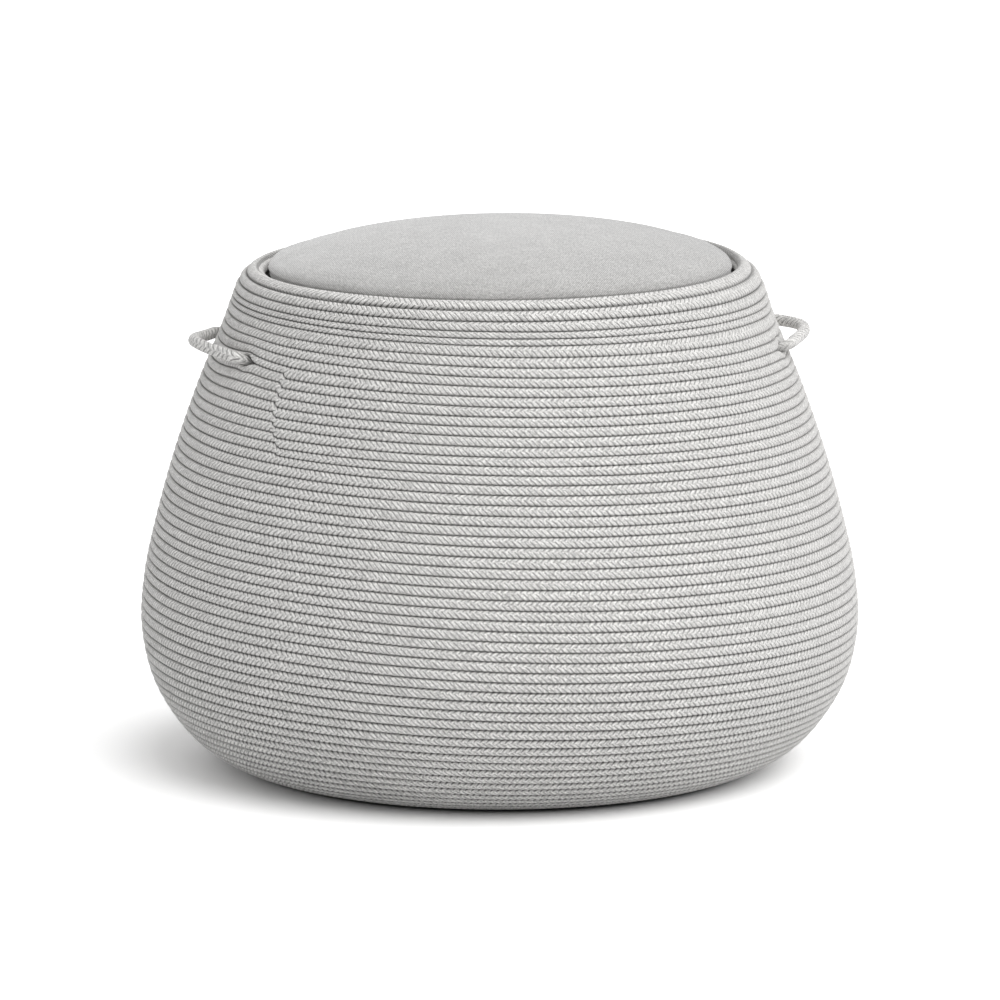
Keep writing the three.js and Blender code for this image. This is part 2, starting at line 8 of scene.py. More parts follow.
import bmesh
import bpy
import numpy as np
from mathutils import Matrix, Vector


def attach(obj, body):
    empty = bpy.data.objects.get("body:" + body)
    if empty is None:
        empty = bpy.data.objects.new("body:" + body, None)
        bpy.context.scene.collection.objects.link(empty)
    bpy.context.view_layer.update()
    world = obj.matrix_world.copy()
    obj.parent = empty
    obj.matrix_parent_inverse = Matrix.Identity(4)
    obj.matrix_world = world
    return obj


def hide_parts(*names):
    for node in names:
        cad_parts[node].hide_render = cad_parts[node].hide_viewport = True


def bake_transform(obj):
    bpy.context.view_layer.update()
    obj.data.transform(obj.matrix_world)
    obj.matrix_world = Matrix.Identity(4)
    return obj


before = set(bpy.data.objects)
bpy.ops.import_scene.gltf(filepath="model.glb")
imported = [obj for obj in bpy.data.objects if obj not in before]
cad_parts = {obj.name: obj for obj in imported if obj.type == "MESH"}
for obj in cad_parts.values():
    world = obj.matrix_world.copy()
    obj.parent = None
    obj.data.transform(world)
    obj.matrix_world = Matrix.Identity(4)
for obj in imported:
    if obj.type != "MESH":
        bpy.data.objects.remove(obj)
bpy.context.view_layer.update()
collection = bpy.context.scene.collection

MM = 0.001
TURN = 2 * math.pi

# Camera
CAMERA_LENS = 267.9
CAMERA_DISTANCE = 6.223
CAMERA_AZIMUTH = math.radians(-9)
CAMERA_ELEVATION = math.radians(10.03)
CAMERA_TARGET = Vector((0, 0, 0.2209))

# Light
WORLD_LIGHT = 0.56
SUN_LIGHT = 2.05
SUN_SPREAD = math.radians(75)
SUN_AZIMUTH = math.radians(55)
SUN_ELEVATION = math.radians(52)
FLOOR_SEEN = 1.5
# Inner and outer radius of the painted contact shadow on the floor
FLOOR_CONTACT = (200 * MM, 217 * MM)

# Wall, as the rope layer's middle line: shares of its widest radius and of its rise
WALL_RADIUS = 295.9 * MM
WALL_BASE = 7.1 * MM
WALL_RISE = 409.5 * MM
WALL_SHARES = [
    (0.686, 1), (0.71, 0.9878), (0.7268, 0.9688), (0.7634, 0.8945), (0.8371, 0.7651),
    (0.9, 0.6357), (0.9513, 0.5065), (0.9905, 0.3778), (1, 0.2757), (0.9716, 0.1746),
    (0.9138, 0.0996), (0.852, 0.0496), (0.7898, 0.0195), (0.7165, 0.0005), (0.6624, 0),
]
SPLINE_SAMPLES = 40

# Rope rows down the wall
ROW_PITCH = 8.18 * MM
ROW_START = -4.9 * MM
RIM_ROW_SHARES = [1.25, 1.2, 1.05, 0.71, 0.71, 1.14, 1.07, 1.03]
ROW_COUNT = 59
WINDING_TURNS = 24
ROW_GAP = 1.0 * MM
LEAST_HALF_ROW = 0.15 * MM
WANDER_HEIGHT = 0.12 * MM
WANDER_FULL = 20 * MM
ROPE_HALF_DEPTH = 3.65 * MM
SECTION_POWER = 2.8
ROUND_ROWS = 6
FRONT_SIDES = 14
BACK_SIDES = 2
ROUND_SIDES = 24
ROWS_A_PIECE = 3
STATION = 1.0 * MM

# The winding steps down to its next row behind the stool
STEP_AZIMUTH = math.radians(69)
STEP_SPAN = math.radians(24)

# Rows dip towards the camera's right: (distance down the wall, slope)
DIP_AZIMUTH = CAMERA_AZIMUTH
DIP = [
    (0, -0.008), (10, 0.002), (30, 0.012), (46, 0.0229), (63, 0.0267), (130, 0.025), (200, 0.0275),
    (240, 0.031), (275, 0.0376), (310, 0.034), (350, 0.031), (400, 0.026), (440, 0.02), (480, 0),
]

# How far the rows lie below an even winding: (distance, at the front, at the back)
LAY = [
    (0, 2.7, -1.5), (6, 4.0, -1.4), (15, 3.2, -1.1), (24, 2.6, -0.8), (36, 2.3, -0.5), (50, 2.5, -0.2),
    (62, 1.9, 0), (90, 1.6, 0), (127, 1.4, 0), (152, -0.2, 0), (175, 0.3, 0), (205, 1.0, 0),
    (235, 2.0, 0), (275, 2.6, 0), (310, 2.0, 0), (350, 1.8, 0), (375, 0.9, 0), (400, 0.4, 0), (422, 0, 0),
]

# Half-row breaks on the left: (distance, azimuth)
BREAKS = [(80, 213.6), (95, 213.5), (110, 213.8), (125, 214.9), (138, 217)]
BREAK_FROM = 78 * MM
BREAK_TO = 139 * MM
BREAK_FADE = 9 * MM
BREAK_HEIGHT = 3.9 * MM
BREAK_SPAN = math.radians(0.8)
BREAK_REACH = math.radians(34)

# The rim stands a little higher behind on the right
RIM_LIFT = 3.6 * MM
RIM_LIFT_AZIMUTH = math.radians(33)
RIM_LIFT_SPAN = math.radians(46)
RIM_LIFT_DEPTH = 48 * MM

# Braid: eight strands, in four sides round the rope
STRAND_PITCH = 5.0 * MM
STRAND_SKEW = 1.35
SIDE_WAVE = 0.07
STRAND_RELIEF = 0.95 * MM
STRAND_FLATNESS = 3.0
STRAND_END_POWER = 6
STRAND_END_FALL = 0.3
FLANK_FALL = 0.3
BACK_RELIEF = 0.15
ROW_SIZE_SHARE = 1.4
# Painted shade in the grooves between rows: where it starts round the section, how much wider it is on
# down-facing rows, and its fade
GROOVE_FROM = 0.71
GROOVE_TILT = 0.2
GROOVE_SPAN = 0.2

# How far the rope has rolled about its own line, in quarter turns, round the wall: (azimuth, roll)
ROLL = [
    (-49, 2.08), (20, 1.9), (80, 1.75), (140, 1.65), (198, 1.5), (215, 1.3), (230, 0.95), (237, 0.75),
    (248, 0.4), (261, 0.22), (281, 0.15), (311, 0.08),
]

# Painted to suit the photograph's light: the braid reads softer on the wall's right
# Where calm is high the painted shade between strands and in the grooves is weaker and the mix of greys
# flatter and darker: painted light for the wall's lit side. The relief and row gaps are lower there too.
CALM = 0.6
CALM_RELIEF = 0.7
CALM_GROOVE = 0.6
CALM_CONTRAST = 0.4
CALM_TONE = 0.19
WALL_CALM_SHADE = 0.2
CALM_AZIMUTH = math.radians(-15)
CALM_SPAN = math.radians(50)

# Inner row behind the lip
INNER_ROW = (200.0 * MM, 413.0 * MM)
INNER_RADIUS = 3.7 * MM

# Handles
HANDLE_PIVOT_X = 229.1 * MM
HANDLE_PIVOT_Y = 76.66 * MM
HANDLE_PIVOT_Z = 358.97 * MM
HANDLE_RADIUS = 4.05 * MM
HANDLE_REACH = {"right": 15.1 * MM, "left": 14.3 * MM}
LEFT_REAR_DROP = 2.5 * MM
LEFT_REAR_FROM = -20 * MM
LEFT_REAR_SPAN = 80 * MM
OUTSIDE_FROM = 224 * MM
OUTSIDE_SPAN = 12 * MM
REAR_SLANT = math.radians(1.1)
HANDLE_RISE = 3 * MM
# Painted light at the right handle's ends, as on the wall's lit side: weaker painted shade between strands, a
# flatter mix of greys and lower relief
HANDLE_CALM = {"right": 0.75, "left": 0}
HANDLE_STRAND_PITCH = 7.6 * MM
HANDLE_END_PITCH = 5.2 * MM
HANDLE_ROLL = 0.92
HANDLE_SHARES = [(1, 0), (0.78, 0.25), (0.5, 0.6), (0.25, 0.88), (0, 1)]
HANDLE_INSIDE = (29, 22, 14, 5.5)
HANDLE_STATION = 0.6 * MM
HANDLE_CALM_RELIEF = 0.6
HANDLE_CALM_TO = 46 * MM
HANDLE_FADE = 12 * MM
HANDLE_LOOSE_FROM = 30 * MM
FRONT_END_OUT = 1.2 * MM
FRONT_END_SHARE = 0.985
HANDLE_DISTANCE = 69.7 * MM
NECK_HALF_HEIGHT = 3.0 * MM
NECK_FROM = 10 * MM
NECK_FROM_SPAN = 5 * MM
NECK_TO = 24 * MM
NECK_TO_SPAN = 6 * MM
KNOT_RADIUS = 7.9 * MM
KNOT_MIDDLE = 6.5 * MM
KNOT_REACH = 5 * MM
TIP_LENGTH = 4 * MM
TIP_LEAST = 0.02
EXIT_SPREAD = 4.3 * MM
EXIT_FORWARD = 4.5 * MM
EXIT_REACH = 6 * MM
EXIT_WIDTH = 8 * MM
EXIT_SHADE_WIDTH = 0.8 * EXIT_WIDTH
EXIT_SHADE_FROM = 0.15
EXIT_SHADE_SPAN = 0.35
EXIT_SHIFT_REACH = 24 * MM
EXIT_SHIFT_WIDTH = 34 * MM

# Cushion
CUSHION_RADIUS = 193.99 * MM
CUSHION_HIGH = 455.0 * MM
CUSHION_THICKNESS = 70 * MM
CUSHION_CROWN = 25 * MM
CUSHION_SHOULDER = 13 * MM
CUSHION_SHOULDER_REACH = 9 * MM
CUSHION_DRAW = 2.5 * MM
CUSHION_LOW = CUSHION_HIGH - CUSHION_THICKNESS
CUSHION_SEAM = CUSHION_HIGH - CUSHION_CROWN - CUSHION_SHOULDER
BOTTOM_ROUND = 2 * MM
SEAM_WIDTH = 1.6 * MM
SEAM_DEPTH = 1.3 * MM
LOWER_SEAM = 3 * MM
CROWN_POWER = 2.6
CUSHION_TILT = 0.01
TOP_SPARE = 0.5 * MM
SEAT_SPARE = 0.2 * MM
SIDE_EXCESS = 0.4 * MM
SIMULATION_INSET = 3.0 * MM
SMOOTHING = 14
CUSHION_SIDES = 180
SIMULATION_STEPS = 20
SIMULATION_PRESSURE = 4.0
SIMULATION_CAP = 3.4 * MM
SIDE_LEVELS = 24
SIDE_FROM = 0.86
ZIP_SPAN = math.radians(57)
ZIP_HEIGHTS = (392.8 * MM, 404.8 * MM)
ZIP_SEAT = 194.1 * MM
ZIP_SHARE_FROM = 0.96
ZIP_SHARE_SPAN = 0.02
ZIP_FADE = 3 * MM
ZIP_SPAN_FADE = math.radians(3)
RIB_SPACING = 1.7 * MM
RIB_SLANT = 0.167
STREAK_LENGTH = 9 * MM


def smooth(share):
    """0 below 0, 1 above 1 and an even rise between them."""
    share = np.clip(share, 0, 1)
    return share * share * (3 - 2 * share)


def bell(values, width):
    return np.exp(-((values / width) ** 2))


def signed_power(values, power):
    return np.sign(values) * np.abs(values) ** power


def angle_from(middle, azimuth):
    """Signed angle from one azimuth to others, within half a turn."""
    return (azimuth - middle + math.pi) % TURN - math.pi


def named_mesh(name, vertices, faces, uv=None, attributes=None):
    """A smooth mesh object from arrays: quads or triangles as rows of vertex numbers."""
    mesh = bpy.data.meshes.new(name)
    count, sides = faces.shape
    mesh.vertices.add(len(vertices))
    mesh.vertices.foreach_set("co", np.ascontiguousarray(vertices, np.float32).ravel())
    mesh.loops.add(count * sides)
    mesh.loops.foreach_set("vertex_index", np.ascontiguousarray(faces, np.int32).ravel())
    mesh.polygons.add(count)
    mesh.polygons.foreach_set("loop_start", np.arange(0, count * sides, sides, dtype=np.int32))
    mesh.polygons.foreach_set("loop_total", np.full(count, sides, np.int32))
    mesh.update(calc_edges=True)
    mesh.shade_smooth()
    if uv is not None:
        layer = mesh.uv_layers.new(name="rope")
        layer.uv.foreach_set("vector", np.ascontiguousarray(uv, np.float32).ravel())
    for key, values in (attributes or {}).items():
        layer = mesh.attributes.new(key, "FLOAT", "POINT")
        layer.data.foreach_set("value", np.ascontiguousarray(values, np.float32).ravel())
    piece = bpy.data.objects.new(name, mesh)
    collection.objects.link(piece)
    return piece


def tube_faces(stations, sides):
    """Quads of a tube whose vertices run station by station."""
    row = np.arange(stations - 1)[:, None] * sides
    side = np.arange(sides)[None, :]
    after = (side + 1) % sides
    return np.stack([row + side, row + after, row + sides + after, row + sides + side], -1).reshape(-1, 4)


def tube_uv(along, around):
    """Corner coordinates of a tube: along is (stations,), around is (stations, sides + 1)."""
    near, far = along[:-1, None], along[1:, None]
    ones = np.ones((1, around.shape[1] - 1))
    corners = [
        (near * ones, around[:-1, :-1]), (near * ones, around[:-1, 1:]),
        (far * ones, around[1:, 1:]), (far * ones, around[1:, :-1]),
    ]
    return np.stack([np.stack(pair, -1) for pair in corners], 2).reshape(-1, 2)


# The wall's shape


def spline(points, samples):
    """Centripetal spline through points, as an array of close points."""
    points = np.array(points, float)
    padded = np.vstack([2 * points[0] - points[1], points, 2 * points[-1] - points[-2]])
    made = []
    for i in range(1, len(padded) - 2):
        p0, p1, p2, p3 = padded[i - 1:i + 3]
        t0 = 0
        t1 = t0 + np.linalg.norm(p1 - p0) ** 0.5
        t2 = t1 + np.linalg.norm(p2 - p1) ** 0.5
        t3 = t2 + np.linalg.norm(p3 - p2) ** 0.5
        t = np.linspace(t1, t2, samples, endpoint=False)[:, None]
        a1 = (t1 - t) / (t1 - t0) * p0 + (t - t0) / (t1 - t0) * p1
        a2 = (t2 - t) / (t2 - t1) * p1 + (t - t1) / (t2 - t1) * p2
        a3 = (t3 - t) / (t3 - t2) * p2 + (t - t2) / (t3 - t2) * p3
        b1 = (t2 - t) / (t2 - t0) * a1 + (t - t0) / (t2 - t0) * a2
        b2 = (t3 - t) / (t3 - t1) * a2 + (t - t1) / (t3 - t1) * a3
        made.append((t2 - t) / (t2 - t1) * b1 + (t - t1) / (t2 - t1) * b2)
    return np.vstack(made + [points[-1:]])


wall_points = [(out * WALL_RADIUS, WALL_BASE + up * WALL_RISE) for out, up in WALL_SHARES]
wall_line = spline(wall_points, SPLINE_SAMPLES)
wall_steps = np.linalg.norm(np.diff(wall_line, axis=0), axis=1)
wall_distance = np.concatenate([[0], np.cumsum(wall_steps)])
wall_down = np.gradient(wall_line, wall_distance, axis=0)
wall_down /= np.linalg.norm(wall_down, axis=1)[:, None]


def wall_at(distance):
    """Radius, height and outward direction (radial, upward) at distances down the wall from the lip."""
    kept = np.clip(distance, 0, wall_distance[-1])
    down_r = np.interp(kept, wall_distance, wall_down[:, 0])
    down_z = np.interp(kept, wall_distance, wall_down[:, 1])
    radius = np.interp(kept, wall_distance, wall_line[:, 0]) + down_r * (distance - kept)
    height = np.interp(kept, wall_distance, wall_line[:, 1]) + down_z * (distance - kept)
    return radius, height, -down_z, down_r


# Rope rows

row_heights = np.array(RIM_ROW_SHARES + [1] * (ROW_COUNT - len(RIM_ROW_SHARES))) * ROW_PITCH
row_borders = ROW_START + np.concatenate([[0], np.cumsum(row_heights)])


def dip_at(distance, azimuth):
    """How far a row lies below its mean, as it slopes across the front."""
    table = np.array(DIP)
    slope = np.interp(distance, table[:, 0] * MM, table[:, 1])
    return slope * wall_at(distance)[0] * np.cos(azimuth - DIP_AZIMUTH)


def lay_at(distance, azimuth):
    """How far a row lies below an even winding, blended from the front to the back."""
    table = np.array(LAY) * MM
    front = (1 - np.cos(azimuth - DIP_AZIMUTH - math.pi / 2)) / 2
    at_front = np.interp(distance, table[:, 0], table[:, 1])
    at_back = np.interp(distance, table[:, 0], table[:, 2])
    return front * at_front + (1 - front) * at_back


def break_at(distance, azimuth):
    """The rows' half-row break on the left, strongest at one azimuth and fading round the wall."""
    table = np.array(BREAKS)
    centre = np.radians(np.interp(distance, table[:, 0] * MM, table[:, 1]))
    strength = smooth((distance - BREAK_FROM + BREAK_FADE) / BREAK_FADE)
    strength = strength * smooth((BREAK_TO + BREAK_FADE - distance) / BREAK_FADE)
    away = angle_from(centre, azimuth)
    side = np.tanh(away / (BREAK_SPAN / 2))
    return BREAK_HEIGHT / 2 * strength * side * np.exp(-((np.abs(away) / BREAK_REACH) ** 1.5))


def wander_at(distance, azimuth):
    """Small unevenness of a hand-laid winding."""
    row = distance / ROW_PITCH
    waves = np.sin(3 * azimuth + 1.7 * row) + 0.6 * np.sin(7 * azimuth - 2.3 * row)
    waves = waves + 0.5 * np.sin(13 * azimuth + row * row)
    return WANDER_HEIGHT * waves * smooth(distance / WANDER_FULL)


def laid_at(distance, azimuth):
    moved = dip_at(distance, azimuth) + lay_at(distance, azimuth)
    return distance + moved + break_at(distance, azimuth) + wander_at(distance, azimuth)


handle_half_angle = math.atan2(HANDLE_PIVOT_Y, HANDLE_PIVOT_X)
exit_azimuths = [
    -handle_half_angle, handle_half_angle, math.pi - handle_half_angle, math.pi + handle_half_angle,
]


def exit_border(azimuth):
    """The row border nearest a handle's exit and how far it must shift to lie there."""
    laid = laid_at(row_borders, azimuth)
    nearest = int(np.argmin(np.abs(laid - HANDLE_DISTANCE)))
    return row_borders[nearest], HANDLE_DISTANCE - laid[nearest]


exits = [(azimuth, *exit_border(azimuth)) for azimuth in exit_azimuths]


def exit_arc(azimuth, exit_azimuth):
    """Distance round the wall from the rows' parting at a handle's exit."""
    arc = angle_from(exit_azimuth, azimuth) * HANDLE_PIVOT_X
    return arc - EXIT_FORWARD * math.copysign(1, math.sin(2 * exit_azimuth))


def border_at(index, azimuth, side):
    """Where a row border lies. side is 1 for a row's upper border and -1 for its lower one."""
    distance = np.interp(index, np.arange(ROW_COUNT + 1), row_borders)
    laid = laid_at(distance, azimuth)
    for exit_azimuth, exit_distance, shift in exits:
        arc = exit_arc(azimuth, exit_azimuth)
        off = distance - exit_distance
        laid = laid + shift * bell(arc, EXIT_SHIFT_WIDTH) * bell(off, EXIT_SHIFT_REACH)
        parted = np.sign(off + side * MM) * np.exp(-np.abs(off) / EXIT_REACH)
        laid = laid + EXIT_SPREAD * parted * bell(arc, EXIT_WIDTH)
    return laid


def exit_shade(azimuth, laid):
    """Painted shade mask: 1 deep in the parted rows where a handle goes in."""
    shade = 0
    for exit_azimuth in exit_azimuths:
        arc = exit_arc(azimuth, exit_azimuth)
        shade = np.maximum(shade, bell(arc, EXIT_SHADE_WIDTH) * bell(laid - HANDLE_DISTANCE, EXIT_REACH))
    return smooth((shade - EXIT_SHADE_FROM) / EXIT_SHADE_SPAN)


def section(sides_front, sides_back):
    """Unit squashed section as (angle, out, down, normal out, normal down), evenly spaced on each side."""
    fine = np.linspace(-math.pi / 2, math.pi / 2, 721)
    out = signed_power(np.cos(fine), 2 / SECTION_POWER)
    down = signed_power(np.sin(fine), 2 / SECTION_POWER)
    length = np.concatenate([[0], np.cumsum(np.hypot(np.diff(out), np.diff(down)))])
    front = np.interp(np.linspace(0, length[-1], sides_front + 1), length, fine)
    back = np.interp(np.linspace(0, length[-1], sides_back + 1), length, fine)[1:-1] + math.pi
    angles = np.concatenate([front, back])
    out = signed_power(np.cos(angles), 2 / SECTION_POWER)
    down = signed_power(np.sin(angles), 2 / SECTION_POWER)
    normal_out = signed_power(out, SECTION_POWER - 1)
    normal_down = signed_power(down, SECTION_POWER - 1)
    size = np.hypot(normal_out, normal_down)
    return angles, out, down, normal_out / size, normal_down / size


def side_angle(out, down):
    """Angle round a squashed section, in quarter turns, even along its outline."""
    return np.arctan2(down, out) / (math.pi / 2)


def braid_height(along, around):
    """Height of the braid, 0 to 1. along is in strand pitches and around in quarter turns."""
    side = np.floor(around - SIDE_WAVE * np.sin(TURN * along))
    place = around - side - 0.5
    odd = side % 2
    strand = along - (1 - 2 * odd) * place * STRAND_SKEW + 0.5 * odd
    across = 2 * np.abs(strand - np.floor(strand) - 0.5)
    crown = np.sqrt(np.clip(1 - across ** STRAND_FLATNESS, 0, 1))
    end = np.clip(2 * np.abs(place), 0, 1) ** STRAND_END_POWER
    return crown * (1 - STRAND_END_FALL * end)


def roll_at(azimuth, turn, distance):
    """The rope's roll about its own line, in quarter turns: it rolls back two quarters with each turn."""
    table = np.array(ROLL)
    level = table[:, 1] + 2 * table[:, 0] / 360
    first = table[0, 0]
    around_wall = np.interp((np.degrees(azimuth) - first) % 360 + first, table[:, 0], level)
    row = distance / ROW_PITCH
    sway = 0.08 * np.sin(2 * azimuth + 1.3 * row) + 0.06 * np.sin(5 * azimuth + 2.9 * row)
    return around_wall - 2 * (azimuth / TURN + turn) + sway


def rim_lift(distance, azimuth):
    away = angle_from(RIM_LIFT_AZIMUTH, azimuth)
    return RIM_LIFT * bell(away, RIM_LIFT_SPAN) * (1 - smooth(distance / RIM_LIFT_DEPTH))


def turn_stations(turn, step):
    """Azimuths of one turn, from the end of one step window to the end of the next."""
    middle = (row_borders[turn] + row_borders[min(turn + 1, ROW_COUNT)]) / 2 if turn >= 0 else 0
    count = int(TURN * wall_at(middle)[0] / step)
    first = STEP_AZIMUTH + STEP_SPAN
    azimuths = first + TURN * np.arange(count) / count
    if turn < 0:
        azimuths = azimuths[azimuths > first + TURN - STEP_SPAN]
    return azimuths


def rope_stations(turns, step):
    """Turn number and azimuth of every station over some turns."""
    parts = [turn_stations(turn, step) for turn in turns]
    turn = np.concatenate([np.full(len(part), float(number)) for number, part in zip(turns, parts)])
    azimuth = np.append(np.concatenate(parts), STEP_AZIMUTH + STEP_SPAN + TURN)
    return np.append(turn, turn[-1]), azimuth


def rope_row(turn, azimuth, calm):
    """The rope's middle line and half height between its two row borders, as distances down the wall."""
    stepped = turn + smooth((azimuth - STEP_AZIMUTH - TURN) / STEP_SPAN)
    upper = border_at(np.clip(stepped, 0, ROW_COUNT), azimuth, 1)
    lower = border_at(np.clip(stepped + 1, 0, ROW_COUNT), azimuth, -1)
    return (upper + lower) / 2, np.maximum((lower - upper - ROW_GAP * (1 - calm)) / 2, LEAST_HALF_ROW)


def groove_shade(azimuth, laid, down, out_z):
    """Painted shade mask: 1 in the grooves between rows and where a handle goes in."""
    edge = GROOVE_FROM + GROOVE_TILT * np.minimum(out_z, 0)[:, None]
    painted_groove_shade = smooth((np.abs(down)[None, :] - edge) / GROOVE_SPAN)
    return np.maximum(painted_groove_shade, exit_shade(azimuth[:, None], laid))


def quarters_round(out, down, rolled):
    """Quarter turns round the section, closed at its seam, plus the roll at every station."""
    quarter = side_angle(out, down)
    quarter = np.where(quarter < quarter[0] - 1e-9, quarter + 4, quarter)
    return np.append(quarter, quarter[0] + 4)[None, :] + rolled[:, None]


def rope_relief(along, around, facing, normal_down, half, calm):
    """How far the braid stands out, less on the rope's flanks and where its row is thin."""
    flank = 1 - FLANK_FALL * np.abs(normal_down) ** 2
    size = np.clip(ROW_SIZE_SHARE * half / (ROW_PITCH / 2), 0, 1)[:, None]
    relief = STRAND_RELIEF * braid_height(along[:, None], around[:, :-1]) * facing * flank * size
    return relief * (1 - CALM_RELIEF * calm[:, None])


def wound_rope(turns, start, step):
    """Vertices, faces, uv, attributes and end of the rope over some turns.

    start and end are the rope's length up to there, in strand pitches.
    """
    turn, azimuth = rope_stations(turns, step)
    calm = CALM * bell(angle_from(CALM_AZIMUTH, azimuth), CALM_SPAN)
    middle, half = rope_row(turn, azimuth, calm)
    radius, height, out_r, out_z = wall_at(middle)
    height = height + rim_lift(middle, azimuth)
    advance = np.diff(azimuth) % TURN * (radius + out_r * ROPE_HALF_DEPTH)[:-1]
    along = start + np.concatenate([[0], np.cumsum(advance)]) / STRAND_PITCH
    is_round = max(turns) < ROUND_ROWS
    front, back = (ROUND_SIDES // 2, ROUND_SIDES // 2) if is_round else (FRONT_SIDES, BACK_SIDES)
    angles, out, down, normal_out, normal_down = section(front, back)
    around = quarters_round(out, down, roll_at(azimuth, turn, middle))
    facing = np.ones_like(angles) if is_round else np.where(np.cos(angles) > -0.01, 1.0, BACK_RELIEF)
    relief = rope_relief(along, around, facing, normal_down, half, calm)
    a = ROPE_HALF_DEPTH * out + relief * normal_out
    b = half[:, None] * down + relief * normal_down
    r = radius[:, None] + out_r[:, None] * a + out_z[:, None] * b
    z = height[:, None] + out_z[:, None] * a - out_r[:, None] * b
    vertices = np.stack([r * np.cos(azimuth)[:, None], r * np.sin(azimuth)[:, None], z], -1)
    # Painted shade in the grooves between rows, weaker where calm is high
    painted_groove_shade = groove_shade(azimuth, middle[:, None] + half[:, None] * down, down, out_z)
    painted_groove_shade = painted_groove_shade * (1 - CALM_GROOVE * calm[:, None])
    faces = tube_faces(len(azimuth), len(angles))
    uv = tube_uv(along - math.floor(along[0]), around)
    attributes = {"painted_groove_shade": painted_groove_shade.reshape(-1), "calm": np.repeat(calm, len(angles))}
    return vertices.reshape(-1, 3), faces, uv, attributes, along[-1]


def add_wall_rope(finish):
    step = STATION
    pitches = 0.0
    rows = list(range(ROW_COUNT))
    groups = [rows[first:first + ROWS_A_PIECE] for first in range(0, ROW_COUNT, ROWS_A_PIECE)]
    groups[0].insert(0, -1)
    for number, turns in enumerate(groups):
        vertices, faces, uv, attributes, pitches = wound_rope(turns, pitches, step)
        piece = named_mesh(f"wall_rope_{number + 1:02d}", vertices, faces, uv, attributes)
        piece.data.materials.append(finish)
        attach(piece, "wall_and_frame")
        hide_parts("rope_winding" if turns[-1] < WINDING_TURNS else "rope_wall_lower")


def add_inner_row(finish):
    step = STATION
    radius, height = INNER_ROW
    count = int(TURN * radius / step)
    azimuth = STEP_AZIMUTH + TURN * np.arange(count + 1) / count
    along = np.round(TURN * radius / STRAND_PITCH) * np.arange(count + 1) / count
    angle = TURN * np.arange(ROUND_SIDES + 1) / ROUND_SIDES
    around = angle[None, :] / (math.pi / 2) + 0.4 * np.sin(2 * azimuth)[:, None]
    reach = INNER_RADIUS + STRAND_RELIEF * braid_height(along[:, None], around[:, :-1])
    r = radius + reach * np.cos(angle[:-1])
    z = height + rim_lift(0, azimuth)[:, None] - reach * np.sin(angle[:-1])
    vertices = np.stack([r * np.cos(azimuth)[:, None], r * np.sin(azimuth)[:, None], z], -1).reshape(-1, 3)
    piece = named_mesh(
        "wall_rope_inner", vertices, tube_faces(count + 1, ROUND_SIDES), tube_uv(along, around),
        {"painted_groove_shade": np.zeros(len(vertices)), "calm": np.zeros(len(vertices))},
    )
    piece.data.materials.append(finish)
    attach(piece, "wall_and_frame")
    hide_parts("rope_winding")


# Handles


def frames_along(points):
    """Two cross directions that don't twist along a line of points."""
    tangents = np.gradient(points, axis=0)
    tangents /= np.linalg.norm(tangents, axis=1)[:, None]
    first = np.cross(tangents[0], [0, 0, 1])
    ups = [np.cross(first / np.linalg.norm(first), tangents[0])]
    for tangent in tangents[1:]:
        up = ups[-1] - tangent * np.dot(ups[-1], tangent)
        ups.append(up / np.linalg.norm(up))
    ups = np.array(ups)
    return ups, np.cross(tangents, ups)


def half_handle_line(reach, slant):
    """The handle on +X from one end, inside the wall, to its middle. slant turns that end away from it."""
    pivot_radius = math.hypot(HANDLE_PIVOT_X, HANDLE_PIVOT_Y)
    _, _, out_r, out_z = wall_at(HANDLE_DISTANCE)
    places = []
    for inward in HANDLE_INSIDE:
        azimuth = handle_half_angle + slant * math.sqrt(inward)
        places.append((pivot_radius - inward * MM * out_r, azimuth, HANDLE_PIVOT_Z - inward * MM * out_z))
    for angle, out in HANDLE_SHARES:
        is_front_end = out == 0 and slant == 0
        radius = pivot_radius + out * reach + (FRONT_END_OUT if is_front_end else 0)
        azimuth = angle * handle_half_angle * (FRONT_END_SHARE if is_front_end else 1)
        places.append((radius, azimuth, HANDLE_PIVOT_Z + out * HANDLE_RISE))
    return [[r * math.cos(azimuth), r * math.sin(azimuth), height] for r, azimuth, height in places]


def handle_line(side):
    """The handle's middle line from end to end, before the left handle is turned to -X."""
    slants = (0, REAR_SLANT) if side == "right" else (REAR_SLANT, 0)
    halves = [half_handle_line(HANDLE_REACH[side], slant) for slant in slants]
    first = [[x, -y, z] for x, y, z in halves[0]]
    return np.array(first + halves[1][:-1][::-1])


def evenly_spaced(points, step):
    lengths = np.concatenate([[0], np.cumsum(np.linalg.norm(np.diff(points, axis=0), axis=1))])
    count = int(lengths[-1] / step)
    at = np.linspace(0, lengths[-1], count + 1)
    return np.stack([np.interp(at, lengths, points[:, i]) for i in range(3)], -1), at


def handle_size(from_end):
    """Half width, half height and share of full size, by the distance from the rope's nearer end."""
    knot = bell(from_end - KNOT_MIDDLE, KNOT_REACH) * (KNOT_RADIUS - HANDLE_RADIUS)
    tip = np.sqrt(np.clip(from_end / TIP_LENGTH, TIP_LEAST, 1))
    neck = smooth((from_end - NECK_FROM) / NECK_FROM_SPAN)
    neck = neck * (1 - smooth((from_end - NECK_TO) / NECK_TO_SPAN))
    wide = (HANDLE_RADIUS + knot) * tip
    return wide, wide + (NECK_HALF_HEIGHT - HANDLE_RADIUS) * neck, tip


def turn_left(vertices):
    """Turns the handle to -X and lowers its rear outside the wall."""
    vertices = vertices * [-1, -1, 1]
    outside = smooth((np.hypot(vertices[:, 0], vertices[:, 1]) - OUTSIDE_FROM) / OUTSIDE_SPAN)
    rear = smooth((vertices[:, 1] - LEFT_REAR_FROM) / LEFT_REAR_SPAN)
    vertices[:, 2] -= LEFT_REAR_DROP * rear * outside
    return vertices


